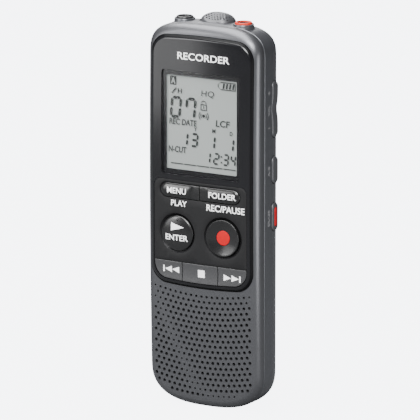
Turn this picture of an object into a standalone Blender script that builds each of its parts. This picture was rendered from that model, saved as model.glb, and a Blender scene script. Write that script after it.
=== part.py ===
"""Handheld voice recorder: a slim stick recorder with a display, a key field and a speaker.

Frame: +X is the user's right, -Y is the front that carries the display, +Z runs up the body.
The origin is at the middle of the lower end. All sizes are in metres; MM turns millimetres
into metres.
"""
import math

import bmesh
import bpy

MM = 0.001

# ---- Driving dimensions -------------------------------------------------------------
BODY_WIDTH = 37.8 * MM
BODY_TOP = 114.1 * MM          # heights are measured from a datum just above the lower end
FOOT = 0.9 * MM                # the lower end reaches this far below the datum
BODY_DEPTH = 20.6 * MM
WALL = 1.3 * MM
GAP = 0.3 * MM                 # clearance between neighbouring pieces
KEY_TRAVEL = 0.35 * MM         # press of a front key, into the body
PART_Y = -5.0 * MM             # plane where the front and rear cases meet
PART_GAP = 0.2 * MM

FRONT_Y = -BODY_DEPTH / 2      # crest of the front panel
BACK_Y = BODY_DEPTH / 2        # flat back
ARCH_RADIUS = 300 * MM         # front face, across the width
BOW_RADIUS = 1700 * MM         # front face, along the height
BOW_CREST_Z = 67 * MM
PANEL_RISE = 0.8 * MM          # the panel stands this far above the case
PANEL_THICKNESS = 1.2 * MM
POCKET_DEPTH = PANEL_THICKNESS + GAP

TOP_CAP = 10 * MM              # length of the rounded upper end
TOP_EXPONENT = 3.2
BOTTOM_CAP = 12 * MM           # length of the rounded lower end
BOTTOM_EXPONENT = 2.7
# Rounding of the front edge and of the back: at the sides, in depth, at the top, at the bottom.
FRONT_ROLL = (2.5 * MM, 2.8 * MM, 3.2 * MM, 2.4 * MM)
REAR_ROLL = (12.8 * MM, 11.0 * MM, 8.5 * MM, 3.6 * MM)

PANEL_HALF = 17.15 * MM
PANEL_LOW, PANEL_HIGH = 35.05 * MM, 111.3 * MM
PANEL_CORNER = 5.2 * MM
PANEL_BAND = 1.3 * MM          # sloping band round the panel
END_BOW = 0.9 * MM             # how far the panel's and the plate's ends are bowed
PLATE_HALF = 15.2 * MM
PLATE_LOW, PLATE_HIGH = 36.5 * MM, 67.45 * MM
WINDOW_HALF = 13.2 * MM
WINDOW_LOW, WINDOW_HIGH = 69.0 * MM, 100.2 * MM
WINDOW_THICKNESS = 0.8 * MM

LCD_HALF = 12.9 * MM
LCD_LOW, LCD_HIGH = 69.3 * MM, 99.9 * MM
LCD_FRONT_Y = -8.6 * MM
LCD_THICKNESS = 1.4 * MM

PILL_HALF = 13.4 * MM
PILL_LOW, PILL_HIGH = 62.2 * MM, 66.45 * MM
ENTER_CENTRE = (-7.7 * MM, 51.5 * MM)
ENTER_RADIUS = 5.3 * MM
REC_CENTRE = (7.75 * MM, 51.75 * MM)
REC_RADIUS = 5.5 * MM
REC_DOT_RADIUS = 2.2 * MM
RECESS_EXTRA = 0.75 * MM       # recess radius beyond a round key's cap
ROW_HALF = 14.9 * MM
ROW_LOW, ROW_HIGH = 37.2 * MM, 42.85 * MM
ROW_DIVIDER = 6.0 * MM
ROW_BOW = 0.9 * MM             # rise of the row's lower edge at its ends
KEY_BACK_Y = -7.55 * MM
KEY_STEM = 0.85                # a key's stem against its cap

MAT_Y = (-7.15 * MM, -6.75 * MM)
DOME_Y = (-6.45 * MM, -6.15 * MM)
BOARD_Y = (-5.85 * MM, -4.95 * MM)

SPEAKER_CENTRE = (0.0, 19 * MM)
SPEAKER_RADIUS = 13.2 * MM

CELL_RADIUS = 5.25 * MM        # AAA cell
CELL_LENGTH = 44.5 * MM
CELL_X = 5.6 * MM
CELL_Y = 3.65 * MM
CELL_LOW = 10.7 * MM
SPRING_LOW, SPRING_HIGH = 9.5 * MM, 56.5 * MM
SPRING_LENGTH = 0.6 * MM
DOOR_HALF = 12.7 * MM
DOOR_HIGH = 57.7 * MM
DOOR_LIP_Y = 7.2 * MM
DOOR_GAP_Y = 5.5 * MM           # rim of the case in front of the hinge bar
HINGE_Y, HINGE_Z = 6.6 * MM, 0.7 * MM
HINGE_BAR_HALF = 6.0 * MM

JACK_X, JACK_Y = 9.9 * MM, -1.7 * MM
JACK_BORE = 1.8 * MM
RING_RADIUS = 2.5 * MM
RING_TOP = 115.0 * MM
DOME_TOP = 116.6 * MM

SIDE_KEY_Y = 0.8 * MM          # middle of the side controls
SIDE_KEY_HALF = 1.65 * MM
SIDE_KEY_PROUD = 0.45 * MM
SIDE_KEY_INNER = 16.2 * MM       # inner end of the side buttons
ROCKER_LOW, ROCKER_HIGH = 81.2 * MM, 98.0 * MM
REPEAT_LOW, REPEAT_HIGH = 67.4 * MM, 75.5 * MM
ERASE_LOW, ERASE_HIGH = 53.2 * MM, 61.7 * MM
SLIDER_LOW, SLIDER_HIGH = 86.0 * MM, 91.0 * MM
SLIDER_TRAVEL = 2.0 * MM
USB_LOW, USB_HIGH = 61.5 * MM, 69.2 * MM

OUTLINE_STEPS = 46             # points round the body, two more than a multiple of four
HALF_WIDTH = BODY_WIDTH / 2
MIDDLE_Z = BODY_TOP / 2

MATERIALS = {                  # colour, metallic, roughness
    "case_grey": ((0.20, 0.205, 0.215), 0.6, 0.38),
    "rear_grey": ((0.045, 0.046, 0.052), 0.1, 0.45),
    "gloss_black": ((0.01, 0.01, 0.012), 0.0, 0.06),
    "plate_black": ((0.035, 0.035, 0.037), 0.0, 0.5),
    "key_black": ((0.02, 0.02, 0.022), 0.0, 0.25),
    "key_grey": ((0.12, 0.12, 0.125), 0.5, 0.35),
    "red": ((0.65, 0.02, 0.02), 0.0, 0.35),
    "orange_red": ((0.70, 0.07, 0.03), 0.0, 0.4),
    "clear": ((0.85, 0.88, 0.88), 0.0, 0.03),
    "lcd": ((0.46, 0.50, 0.47), 0.0, 0.3),
    "white_plastic": ((0.75, 0.75, 0.72), 0.0, 0.5),
    "rubber": ((0.10, 0.10, 0.10), 0.0, 0.8),
    "steel": ((0.62, 0.62, 0.63), 1.0, 0.3),
    "board_green": ((0.02, 0.14, 0.06), 0.0, 0.5),
    "chip_black": ((0.02, 0.02, 0.02), 0.0, 0.4),
    "cloth": ((0.02, 0.02, 0.02), 0.0, 0.95),
    "paper_cone": ((0.05, 0.05, 0.05), 0.0, 0.8),
    "cell": ((0.10, 0.22, 0.40), 0.2, 0.4),
}


# ---- Small tools --------------------------------------------------------------------
def clear_scene():
    for old in list(bpy.data.objects):
        bpy.data.objects.remove(old, do_unlink=True)


def material(name):
    found = bpy.data.materials.get(name)
    if found:
        return found
    colour, metallic, roughness = MATERIALS[name]
    made = bpy.data.materials.new(name)
    made.use_nodes = True
    shader = made.node_tree.nodes["Principled BSDF"]
    shader.inputs["Base Color"].default_value = (*colour, 1.0)
    shader.inputs["Metallic"].default_value = metallic
    shader.inputs["Roughness"].default_value = roughness
    return made


def add_mesh(name, bm, finish):
    """Turn a bmesh into a shaded object with one material."""
    bmesh.ops.recalc_face_normals(bm, faces=bm.faces)
    mesh = bpy.data.meshes.new(name)
    bm.to_mesh(mesh)
    bm.free()
    mesh.shade_smooth()
    mesh.set_sharp_from_angle(angle=math.radians(35))
    mesh.materials.append(material(finish))
    made = bpy.data.objects.new(name, mesh)
    bpy.context.scene.collection.objects.link(made)
    return made


def combine(target, other, operation):
    """Apply a Boolean with another object, which is then used up."""
    modifier = target.modifiers.new(operation.lower(), "BOOLEAN")
    modifier.operation = operation
    modifier.object = other
    modifier.solver = "EXACT"
    bpy.context.view_layer.update()
    graph = bpy.context.evaluated_depsgraph_get()
    result = bpy.data.meshes.new_from_object(target.evaluated_get(graph))
    target.modifiers.remove(modifier)
    target.data = result
    bpy.data.objects.remove(other, do_unlink=True)


def cut(target, other):
    combine(target, other, "DIFFERENCE")


def weld(target, other):
    combine(target, other, "UNION")


def set_origin(target, x, y, z):
    """Move an object's origin without moving its surface."""
    for vertex in target.data.vertices:
        vertex.co.x -= x
        vertex.co.y -= y
        vertex.co.z -= z
    target.location = (x, y, z)


def stack_rings(bm, rings, close_first=True, close_last=True):
    """Join closed rings of points in order; one-point rings become poles."""
    layers = [[bm.verts.new(point) for point in ring] for ring in rings]
    for low, high in zip(layers, layers[1:]):
        count = max(len(low), len(high))
        for i in range(count):
            j = (i + 1) % count
            if len(low) == 1:
                bm.faces.new((low[0], high[i], high[j]))
            elif len(high) == 1:
                bm.faces.new((low[i], low[j], high[0]))
            else:
                bm.faces.new((low[i], low[j], high[j], high[i]))
    if close_first and len(layers[0]) > 2:
        bm.faces.new(layers[0])
    if close_last and len(layers[-1]) > 2:
        bm.faces.new(layers[-1])


def box(name, x, y, z, finish, bevel=0.0):
    """Box between the given (low, high) pairs, with optional rounded edges."""
    bm = bmesh.new()
    corners = [(x[0], z[0]), (x[1], z[0]), (x[1], z[1]), (x[0], z[1])]
    stack_rings(bm, [[(px, level, pz) for px, pz in corners] for level in y])
    if bevel:
        bmesh.ops.bevel(bm, geom=bm.edges[:], offset=bevel, segments=2, affect="EDGES")
    return add_mesh(name, bm, finish)


def turned(name, centre, axis, profile, finish, steps=24):
    """Solid of revolution; profile holds (radius, distance along the axis)."""
    rings = []
    for radius, along in profile:
        count = steps if radius > 0 else 1
        ring = []
        for i in range(count):
            angle = math.tau * i / steps
            u, v = radius * math.cos(angle), radius * math.sin(angle)
            if axis == "Y":
                ring.append((centre[0] + u, along, centre[1] + v))
            elif axis == "Z":
                ring.append((centre[0] + u, centre[1] + v, along))
            else:
                ring.append((along, centre[0] + u, centre[1] + v))
        rings.append(ring)
    bm = bmesh.new()
    hollow = profile[0] == profile[-1]
    stack_rings(bm, rings, not hollow, not hollow)
    if hollow:
        bmesh.ops.remove_doubles(bm, verts=bm.verts[:], dist=0.001 * MM)
    return add_mesh(name, bm, finish)


def prism(name, outline, axis, low, high, finish):
    """Outline of (a, b) points pushed along an axis: (x, z) along Y, (x, y) along Z."""
    bm = bmesh.new()
    if axis == "Y":
        rings = [[(a, level, b) for a, b in outline] for level in (low, high)]
    else:
        rings = [[(a, b, level) for a, b in outline] for level in (low, high)]
    stack_rings(bm, rings)
    return add_mesh(name, bm, finish)


def rounded_outline(x, z, radius, steps=5):
    """Rounded rectangle between (low, high) pairs."""
    points = []
    corners = ((x[1], z[1], 0), (x[0], z[1], 90), (x[0], z[0], 180), (x[1], z[0], 270))
    for cx, cz, start in corners:
        inward_x = -radius if cx == x[1] else radius
        inward_z = -radius if cz == z[1] else radius
        for i in range(steps + 1):
            angle = math.radians(start + 90 * i / steps)
            points.append((cx + inward_x + radius * math.cos(angle),
                           cz + inward_z + radius * math.sin(angle)))
    return points


def subdivided(outline, longest=5 * MM):
    """Outline with extra points, so that a curved surface can bend along its sides."""
    points = []
    for (x0, z0), (x1, z1) in zip(outline, outline[1:] + outline[:1]):
        parts = max(1, math.ceil(math.hypot(x1 - x0, z1 - z0) / longest))
        points += [(x0 + (x1 - x0) * i / parts, z0 + (z1 - z0) * i / parts)
                   for i in range(parts)]
    return points


def circle_outline(centre, radius, steps=32):
    return [(centre[0] + radius * math.cos(math.tau * i / steps),
             centre[1] + radius * math.sin(math.tau * i / steps)) for i in range(steps)]


# ---- The body's surfaces ------------------------------------------------------------
def face_y(x, z, depth=0.0):
    """Front surface, arched both ways, at a depth below the panel's crest."""
    arch = x * x / (2 * ARCH_RADIUS)
    bow = (z - BOW_CREST_Z) ** 2 / (2 * BOW_RADIUS)
    return FRONT_Y + depth + arch + bow


def body_outline(inset_x, inset_top, inset_bottom):
    """Front outline of the body: straight sides and superelliptic ends."""
    half = HALF_WIDTH - inset_x
    quarter = (OUTLINE_STEPS - 2) // 4
    points = []
    ends = ((BODY_TOP - TOP_CAP, TOP_CAP - inset_top, TOP_EXPONENT, 0, 1),
            (BOTTOM_CAP - FOOT, BOTTOM_CAP - inset_bottom, BOTTOM_EXPONENT, math.pi, -1))
    for shoulder, reach, exponent, start, sign in ends:
        for i in range(2 * quarter + 1):
            angle = start + math.pi * i / (2 * quarter)
            c, s = math.cos(angle), math.sin(angle)
            x = math.copysign(abs(c) ** (2 / exponent), c) * half
            z = shoulder + sign * abs(s) ** (2 / exponent) * reach
            points.append((x, z))
    return points


def case_rings(roll, front, wall):
    """Rings from the parting plane to the middle of the front or the back."""
    side, depth, top, bottom = roll
    rim_y = PART_Y - PART_GAP / 2 if front else PART_Y + PART_GAP / 2
    rings = [[(x, rim_y, z) for x, z in body_outline(wall, wall, wall)]]
    steps = 4 if front else 7
    for i in range(steps + 1):
        angle = math.pi / 2 * i / steps
        inset = 1 - math.cos(angle)
        reach = (depth - wall) * math.sin(angle)
        outline = body_outline(*(wall + (size - wall) * inset for size in (side, top, bottom)))
        ring = []
        for x, z in outline:
            if front:
                base = face_y(x, z, PANEL_RISE)
                ring.append((x, min(rim_y - 0.05 * MM, base + depth - reach), z))
            else:
                ring.append((x, BACK_Y - depth + reach, z))
        rings.append(ring)
    last = rings[-1]
    for shrink in (0.7, 0.4) if front else ():
        ring = []
        for x, y, z in last:
            new_x, new_z = x * shrink, MIDDLE_Z + (z - MIDDLE_Z) * shrink
            ring.append((new_x, face_y(new_x, new_z, PANEL_RISE + wall), new_z))
        rings.append(ring)
    centre_y = face_y(0, MIDDLE_Z, PANEL_RISE + wall) if front else rings[-1][0][1]
    rings.append([(0, centre_y, MIDDLE_Z)])
    return rings


def case_shell(name, roll, front, finish):
    """Half of the body as a bowl with a wall."""
    outer = case_rings(roll, front, 0.0)
    inner = case_rings(roll, front, WALL)
    bm = bmesh.new()
    stack_rings(bm, list(reversed(inner)) + outer, False, False)
    return add_mesh(name, bm, finish)


def curved_plate(name, outline, depth_front, depth_back, finish, edge=0.0, centre_z=None):
    """Plate that follows the front surface; edge slopes its border down to the case."""
    lowest, highest = min(z for _, z in outline), max(z for _, z in outline)
    middle = centre_z if centre_z is not None else (lowest + highest) / 2
    outline = subdivided(outline)
    half_x = max(x for x, _ in outline)
    half_z = max(z for _, z in outline) - middle

    def ring(shrink_x, shrink_z, depth):
        points = []
        for x, z in outline:
            new_x, new_z = x * shrink_x, middle + (z - middle) * shrink_z
            points.append((new_x, face_y(new_x, new_z, depth), new_z))
        return points

    inner_x, inner_z = 1 - edge / half_x, 1 - edge / half_z
    shrinks = (0.66, 0.33)
    rings = [[(0, face_y(0, middle, depth_back), middle)]]
    rings += [ring(s, s, depth_back) for s in reversed(shrinks)]
    rings.append(ring(1, 1, depth_back))
    if edge:
        rings.append(ring(1, 1, depth_front + PANEL_RISE))
    rings.append(ring(inner_x, inner_z, depth_front))
    rings += [ring(inner_x * s, inner_z * s, depth_front) for s in shrinks]
    rings.append([(0, face_y(0, middle, depth_front), middle)])
    bm = bmesh.new()
    stack_rings(bm, rings, False, False)
    return add_mesh(name, bm, finish)


def cutter(outline, low=-14 * MM, high=-6.0 * MM):
    return prism("cutter", outline, "Y", low, high, "rubber")


def box_cutter(x, y, z):
    return box("cutter", x, y, z, "rubber")


# ---- Casings ------------------------------------------------------------------------
def panel_outline(clearance=0.0):
    """Panel border: rounded corners, with gently bowed ends."""
    half = PANEL_HALF + clearance
    low, high = PANEL_LOW - clearance, PANEL_HIGH + clearance
    radius = PANEL_CORNER + clearance
    points = rounded_outline((-half, half), (low, high), radius)
    bow = END_BOW
    bent = []
    for x, z in points:
        droop = bow * (x / half) ** 2
        bent.append((x, z - droop if z > MIDDLE_Z else z + droop))
    return bent


CHIPS = (("processor_chip", 0, 88, 9, 9), ("memory_chip", -8, 75, 6, 8),
         ("audio_chip", 6, 73, 5, 5), ("power_chip", 2, 62.5, 6, 4))
SIDE_SWITCHES = (("volume_down_switch", 84.0), ("volume_up_switch", 95.2),
                 ("repeat_switch", 71.45), ("erase_switch", 57.45))
SCREW_SPOTS = ((-4.6, 104.5), (4.6, 104.5))


def make_front_case():
    shell = case_shell("front_case", FRONT_ROLL, True, "case_grey")
    pocket = curved_plate("cutter", panel_outline(GAP), -2 * MM, POCKET_DEPTH, "rubber")
    cut(shell, pocket)
    window = rounded_outline((-WINDOW_HALF, WINDOW_HALF), (WINDOW_LOW, WINDOW_HIGH), 1.0 * MM, 2)
    cut(shell, cutter(window))
    keys = rounded_outline((-14.6 * MM, 14.6 * MM), (37.2 * MM, 66.8 * MM), 1.2 * MM, 3)
    cut(shell, cutter(keys))
    return shell


def make_rear_case():
    shell = case_shell("rear_case", REAR_ROLL, False, "rear_grey")
    for side in (-1, 1):
        collar = turned("collar", (side * JACK_X, JACK_Y), "Z",
                        [(3.1 * MM, 111.5 * MM), (3.1 * MM, 114.5 * MM)], "rear_grey", 28)
        weld(shell, collar)
        hole = turned("cutter", (side * JACK_X, JACK_Y), "Z",
                      [(RING_RADIUS + 0.25 * MM, 108 * MM), (RING_RADIUS + 0.25 * MM, 120 * MM)],
                      "rubber", 28)
        cut(shell, hole)
    mic = prism("cutter", dome_outline(GAP), "Z", 108 * MM, 120 * MM, "rubber")
    cut(shell, mic)
    side_y = (SIDE_KEY_Y - SIDE_KEY_HALF - GAP, SIDE_KEY_Y + SIDE_KEY_HALF + GAP)
    for low, high in ((ROCKER_LOW, ROCKER_HIGH), (REPEAT_LOW, REPEAT_HIGH),
                      (ERASE_LOW, ERASE_HIGH)):
        cut(shell, box_cutter((14 * MM, 22 * MM), side_y, (low - GAP, high + GAP)))
    slot = (SLIDER_LOW - SLIDER_TRAVEL - GAP, SLIDER_HIGH + SLIDER_TRAVEL + GAP)
    cut(shell, box_cutter((-22 * MM, -14 * MM), side_y, slot))
    cut(shell, box_cutter((-22 * MM, -14 * MM), (-1.9 * MM, 2.5 * MM),
                          (USB_LOW - GAP, USB_HIGH + GAP)))
    for x, z in SCREW_SPOTS:
        well = [(2.2 * MM, 14 * MM), (2.2 * MM, BACK_Y - 1.7 * MM), (1.2 * MM, BACK_Y - 1.7 * MM),
                (1.2 * MM, 6 * MM)]
        tube = [(3.2 * MM, BACK_Y - 1.0 * MM), (3.2 * MM, BACK_Y - 3.2 * MM)]
        weld(shell, turned("boss", (x * MM, z * MM), "Y", tube, "rear_grey", 24))
        cut(shell, turned("cutter", (x * MM, z * MM), "Y", well, "rubber", 24))
    edge = DOOR_HALF + GAP
    cut(shell, box_cutter((-edge, edge), (DOOR_GAP_Y, 14 * MM), (-2 * MM, DOOR_HIGH + GAP)))
    return shell


def make_battery_door():
    door = case_shell("battery_door", REAR_ROLL, False, "rear_grey")
    keep = box("keep", (-DOOR_HALF, DOOR_HALF), (DOOR_LIP_Y, 14 * MM), (-2 * MM, DOOR_HIGH),
               "rear_grey")
    combine(door, keep, "INTERSECT")
    for i in range(5):
        z = 50 * MM - i * 1.5 * MM
        groove = box_cutter((-5 * MM, 5 * MM), (BACK_Y - 0.35 * MM, 14 * MM),
                            (z - 0.35 * MM, z + 0.35 * MM))
        cut(door, groove)
    set_origin(door, 0, HINGE_Y, HINGE_Z)
    bar = turned("door_hinge_bar", (HINGE_Y, HINGE_Z), "X",
                 [(0.45 * MM, -HINGE_BAR_HALF), (0.45 * MM, HINGE_BAR_HALF)], "steel", 14)
    set_origin(bar, 0, HINGE_Y, HINGE_Z)
    return door


# ---- Front panel, window and key plate ----------------------------------------------
def make_front_panel():
    panel = curved_plate("front_panel", panel_outline(), 0.0, PANEL_THICKNESS, "gloss_black",
                         PANEL_BAND)
    window = rounded_outline((-WINDOW_HALF - GAP, WINDOW_HALF + GAP),
                             (WINDOW_LOW - GAP, WINDOW_HIGH + GAP), 1.3 * MM, 3)
    cut(panel, cutter(window))
    cut(panel, cutter(plate_outline(GAP)))
    lens = curved_plate("display_window",
                        rounded_outline((-WINDOW_HALF, WINDOW_HALF), (WINDOW_LOW, WINDOW_HIGH),
                                        1.0 * MM, 3), 0.0, WINDOW_THICKNESS, "clear")
    return panel, lens


def plate_outline(clearance=0.0):
    """Key plate border: its lower edge is bowed like the panel's."""
    half = PLATE_HALF + clearance
    low, high = PLATE_LOW - clearance, PLATE_HIGH + clearance
    bent = []
    for x, z in rounded_outline((-half, half), (low, high), 3.0 * MM + clearance):
        bow = END_BOW * (x / half) ** 2 if z < 50 * MM else 0.0
        bent.append((x, z + bow))
    return bent


def row_outline(left, right, clearance=0.0):
    """One transport key; the outer keys have a rounded lower outer corner."""
    left, right = left - clearance, right + clearance
    low, high = ROW_LOW - clearance, ROW_HIGH + clearance
    corner = 3.0 * MM
    corner_start = ROW_HALF + clearance - corner
    points = [(left, high)]
    steps = round((right - left) / (0.6 * MM))
    for i in range(steps + 1):
        x = left + (right - left) * i / steps
        past = max(0.0, abs(x) - corner_start)
        lift = corner - math.sqrt(max(corner ** 2 - past ** 2, 0.05 * corner ** 2))
        points.append((x, low + ROW_BOW * (x / ROW_HALF) ** 2 + lift))
    points.append((right, high))
    return points


def pill_outline(left, right, clearance=0.0):
    """Half of the two-key bar, round at its outer end."""
    radius = (PILL_HIGH - PILL_LOW) / 2 + clearance
    middle = (PILL_HIGH + PILL_LOW) / 2
    left, right = left - clearance, right + clearance
    outer = left if abs(left) > abs(right) else right
    inner = right if outer == left else left
    sign = 1 if outer > 0 else -1
    points = [(inner, middle + radius), (inner, middle - radius)]
    for i in range(9):
        angle = math.radians(-90 + 180 * i / 8)
        points.append((outer - sign * radius + sign * radius * math.cos(angle),
                       middle + radius * math.sin(angle)))
    return points


def make_key_plate():
    plate = curved_plate("key_plate", plate_outline(), 0.0, PANEL_THICKNESS, "plate_black")
    full_pill = rounded_outline((-PILL_HALF - GAP, PILL_HALF + GAP),
                                (PILL_LOW - GAP, PILL_HIGH + GAP), 2.3 * MM, 5)
    cut(plate, cutter(full_pill))
    cut(plate, cutter(row_outline(-ROW_HALF, ROW_HALF, 0.25 * MM)))
    for centre, radius in ((ENTER_CENTRE, ENTER_RADIUS), (REC_CENTRE, REC_RADIUS)):
        surface = face_y(*centre)
        well = [(radius + GAP, -6 * MM), (radius + GAP, surface + 0.7 * MM),
                (radius + RECESS_EXTRA, surface - 0.1 * MM), (radius + RECESS_EXTRA, -13 * MM)]
        cut(plate, turned("cutter", centre, "Y", well, "rubber", 36))
    return plate


# ---- Front keys ---------------------------------------------------------------------
def make_key(name, outline, proud, finish):
    """Key with a curved face that stands slightly above the plate, and a flat back."""
    centre_x = sum(x for x, _ in outline) / len(outline)
    centre_z = sum(z for _, z in outline) / len(outline)
    stem = [(centre_x + (x - centre_x) * KEY_STEM, centre_z + (z - centre_z) * KEY_STEM)
            for x, z in outline]
    rings = [[(x, KEY_BACK_Y, z) for x, z in stem],
             [(x, face_y(x, z, 1.25 * MM), z) for x, z in stem],
             [(x, face_y(x, z, 1.1 * MM), z) for x, z in outline],
             [(x, face_y(x, z, 0.15 * MM - proud), z) for x, z in outline]]
    inner = []
    for x, z in outline:
        new_x, new_z = centre_x + (x - centre_x) * 0.93, centre_z + (z - centre_z) * 0.86
        inner.append((new_x, face_y(new_x, new_z, -proud), new_z))
    rings.append(inner)
    rings.append([(centre_x, face_y(centre_x, centre_z, -proud), centre_z)])
    bm = bmesh.new()
    stack_rings(bm, rings, True, False)
    key = add_mesh(name, bm, finish)
    set_origin(key, centre_x, KEY_BACK_Y, centre_z)
    return key


def make_front_keys():
    split = 0.15 * MM
    make_key("menu_key", pill_outline(-PILL_HALF, -split), 0.1 * MM, "key_black")
    make_key("folder_key", pill_outline(split, PILL_HALF), 0.1 * MM, "key_black")
    spans = (("rewind_key", -ROW_HALF, -ROW_DIVIDER - split),
             ("stop_key", -ROW_DIVIDER + split, ROW_DIVIDER - split),
             ("forward_key", ROW_DIVIDER + split, ROW_HALF))
    for name, left, right in spans:
        make_key(name, row_outline(left, right), 0.05 * MM, "key_grey")

    surface = face_y(*ENTER_CENTRE)
    dome = [(0, KEY_BACK_Y), (ENTER_RADIUS, KEY_BACK_Y), (ENTER_RADIUS, surface + 0.25 * MM)]
    for i in range(1, 6):
        radius = ENTER_RADIUS * math.cos(math.pi / 2 * i / 5)
        height = math.sin(math.pi / 2 * i / 5)
        dome.append((radius if i < 5 else 0, surface + 0.25 * MM - 0.75 * MM * height))
    enter = turned("enter_key", ENTER_CENTRE, "Y", dome, "key_black", 32)
    set_origin(enter, ENTER_CENTRE[0], KEY_BACK_Y, ENTER_CENTRE[1])

    surface = face_y(*REC_CENTRE)
    dish = [(0, KEY_BACK_Y), (REC_RADIUS, KEY_BACK_Y), (REC_RADIUS, surface + 0.1 * MM),
            (REC_RADIUS - 0.4 * MM, surface - 0.2 * MM),
            (4.0 * MM, surface + 0.05 * MM), (REC_DOT_RADIUS + GAP, surface + 0.2 * MM),
            (REC_DOT_RADIUS + GAP, surface + 1.2 * MM), (0, surface + 1.2 * MM)]
    rec = turned("rec_key", REC_CENTRE, "Y", dish, "key_black", 32)
    set_origin(rec, REC_CENTRE[0], KEY_BACK_Y, REC_CENTRE[1])
    dot = [(0, surface + 0.9 * MM), (REC_DOT_RADIUS, surface + 0.9 * MM),
           (REC_DOT_RADIUS, surface + 0.2 * MM), (1.2 * MM, surface + 0.12 * MM),
           (0, surface + 0.1 * MM)]
    spot = turned("rec_key_dot", REC_CENTRE, "Y", dot, "red", 28)
    set_origin(spot, REC_CENTRE[0], surface, REC_CENTRE[1])


def key_centres():
    outer = (ROW_DIVIDER + ROW_HALF) / 2
    row = (ROW_LOW + ROW_HIGH) / 2 + 0.3 * MM
    pill = (PILL_LOW + PILL_HIGH) / 2
    return ((-PILL_HALF / 2, pill), (PILL_HALF / 2, pill), ENTER_CENTRE, REC_CENTRE,
            (-outer, row), (0.0, row), (outer, row))


def make_keypad():
    outline = rounded_outline((-13.8 * MM, 13.8 * MM), (39.4 * MM, 66.4 * MM), 1.5 * MM, 3)
    prism("keypad_mat", outline, "Y", *MAT_Y, "rubber")
    sheet = prism("dome_sheet", outline, "Y", DOME_Y[1] - 0.1 * MM, DOME_Y[1], "steel")
    for x, z in key_centres():
        dome = [(1.9 * MM, DOME_Y[1] - 0.05 * MM), (1.1 * MM, DOME_Y[0])]
        weld(sheet, turned("dome", (x, z), "Y", dome, "steel", 16))


# ---- Display and boards -------------------------------------------------------------
def make_display():
    outline = rounded_outline((-LCD_HALF, LCD_HALF), (LCD_LOW, LCD_HIGH), 0.4 * MM, 2)
    prism("lcd_module", outline, "Y", LCD_FRONT_Y, LCD_FRONT_Y + LCD_THICKNESS, "lcd")
    holder = box("lcd_holder", (-13.8 * MM, 13.8 * MM), (-6.85 * MM, -6.2 * MM),
                 (69.4 * MM, 101.4 * MM), "white_plastic")
    cut(holder, box_cutter((-10 * MM, 10 * MM), (-8 * MM, -5 * MM), (73 * MM, 97 * MM)))
    box("lcd_contact_strip", (-11 * MM, 11 * MM), (-7.1 * MM, -6.15 * MM),
        (67.1 * MM, 69.0 * MM), "rubber")


def make_boards():
    board = rounded_outline((-15.6 * MM, 15.6 * MM), (38 * MM, 107.5 * MM), 3 * MM, 3)
    prism("main_board", board, "Y", *BOARD_Y, "board_green")
    back = BOARD_Y[1] + GAP
    for name, x, z, width, height in CHIPS:
        box(name, ((x - width / 2) * MM, (x + width / 2) * MM), (back, back + 1.0 * MM),
            ((z - height / 2) * MM, (z + height / 2) * MM), "chip_black")
    box("side_board", (13.3 * MM, 14.2 * MM), (-2.6 * MM, 3.6 * MM), (51 * MM, 99 * MM),
        "board_green")
    for name, z in SIDE_SWITCHES:
        low, high = (z - 1.5) * MM, (z + 1.5) * MM
        middle = SIDE_KEY_Y
        switch = box(name, (14.5 * MM, 15.2 * MM), (middle - 1.5 * MM, middle + 1.5 * MM),
                     (low, high), "steel")
        plunger = turned("plunger", (middle, z * MM), "X",
                         [(0.8 * MM, 15.0 * MM), (0.8 * MM, 15.6 * MM)], "steel", 14)
        weld(switch, plunger)


# ---- Speaker ------------------------------------------------------------------------
def make_speaker():
    frame = [(SPEAKER_RADIUS, -6.0 * MM), (SPEAKER_RADIUS, -5.2 * MM), (11.6 * MM, -5.0 * MM),
             (7.2 * MM, -3.9 * MM), (7.2 * MM, -3.5 * MM), (4.5 * MM, -3.5 * MM),
             (4.5 * MM, -4.3 * MM), (6.8 * MM, -4.4 * MM), (11.2 * MM, -5.5 * MM),
             (12.3 * MM, -6.0 * MM), (SPEAKER_RADIUS, -6.0 * MM)]
    turned("speaker_frame", SPEAKER_CENTRE, "Y", frame, "steel", 24)
    cone = [(0, -5.6 * MM), (3.2 * MM, -5.3 * MM), (6.0 * MM, -4.95 * MM),
            (10.3 * MM, -5.85 * MM), (11.0 * MM, -6.3 * MM), (11.8 * MM, -6.3 * MM),
            (11.8 * MM, -6.4 * MM), (10.8 * MM, -6.4 * MM), (10.0 * MM, -6.1 * MM),
            (6.0 * MM, -5.3 * MM), (3.2 * MM, -5.8 * MM), (0, -6.1 * MM)]
    turned("speaker_cone", SPEAKER_CENTRE, "Y", cone, "paper_cone", 24)
    magnet = [(6.6 * MM, -3.2 * MM), (6.6 * MM, -2.85 * MM)]
    turned("speaker_magnet", SPEAKER_CENTRE, "Y", magnet, "steel", 24)
    disc = circle_outline(SPEAKER_CENTRE, 12.6 * MM, 28)
    inner = PANEL_RISE + WALL + GAP
    curved_plate("speaker_cloth", disc, inner, inner + 0.2 * MM, "cloth", 0.0,
                 SPEAKER_CENTRE[1])


# ---- Sockets and microphone on the upper end ----------------------------------------
def dome_outline(clearance=0.0):
    """Rounded footprint of the microphone cover, in X and Y."""
    points = []
    for i in range(32):
        angle = math.tau * i / 32
        c, s = math.cos(angle), math.sin(angle)
        points.append((math.copysign(abs(c) ** 0.7, c) * (5.4 * MM + clearance),
                       0.6 * MM + math.copysign(abs(s) ** 0.7, s) * (4.0 * MM + clearance)))
    return points


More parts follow.
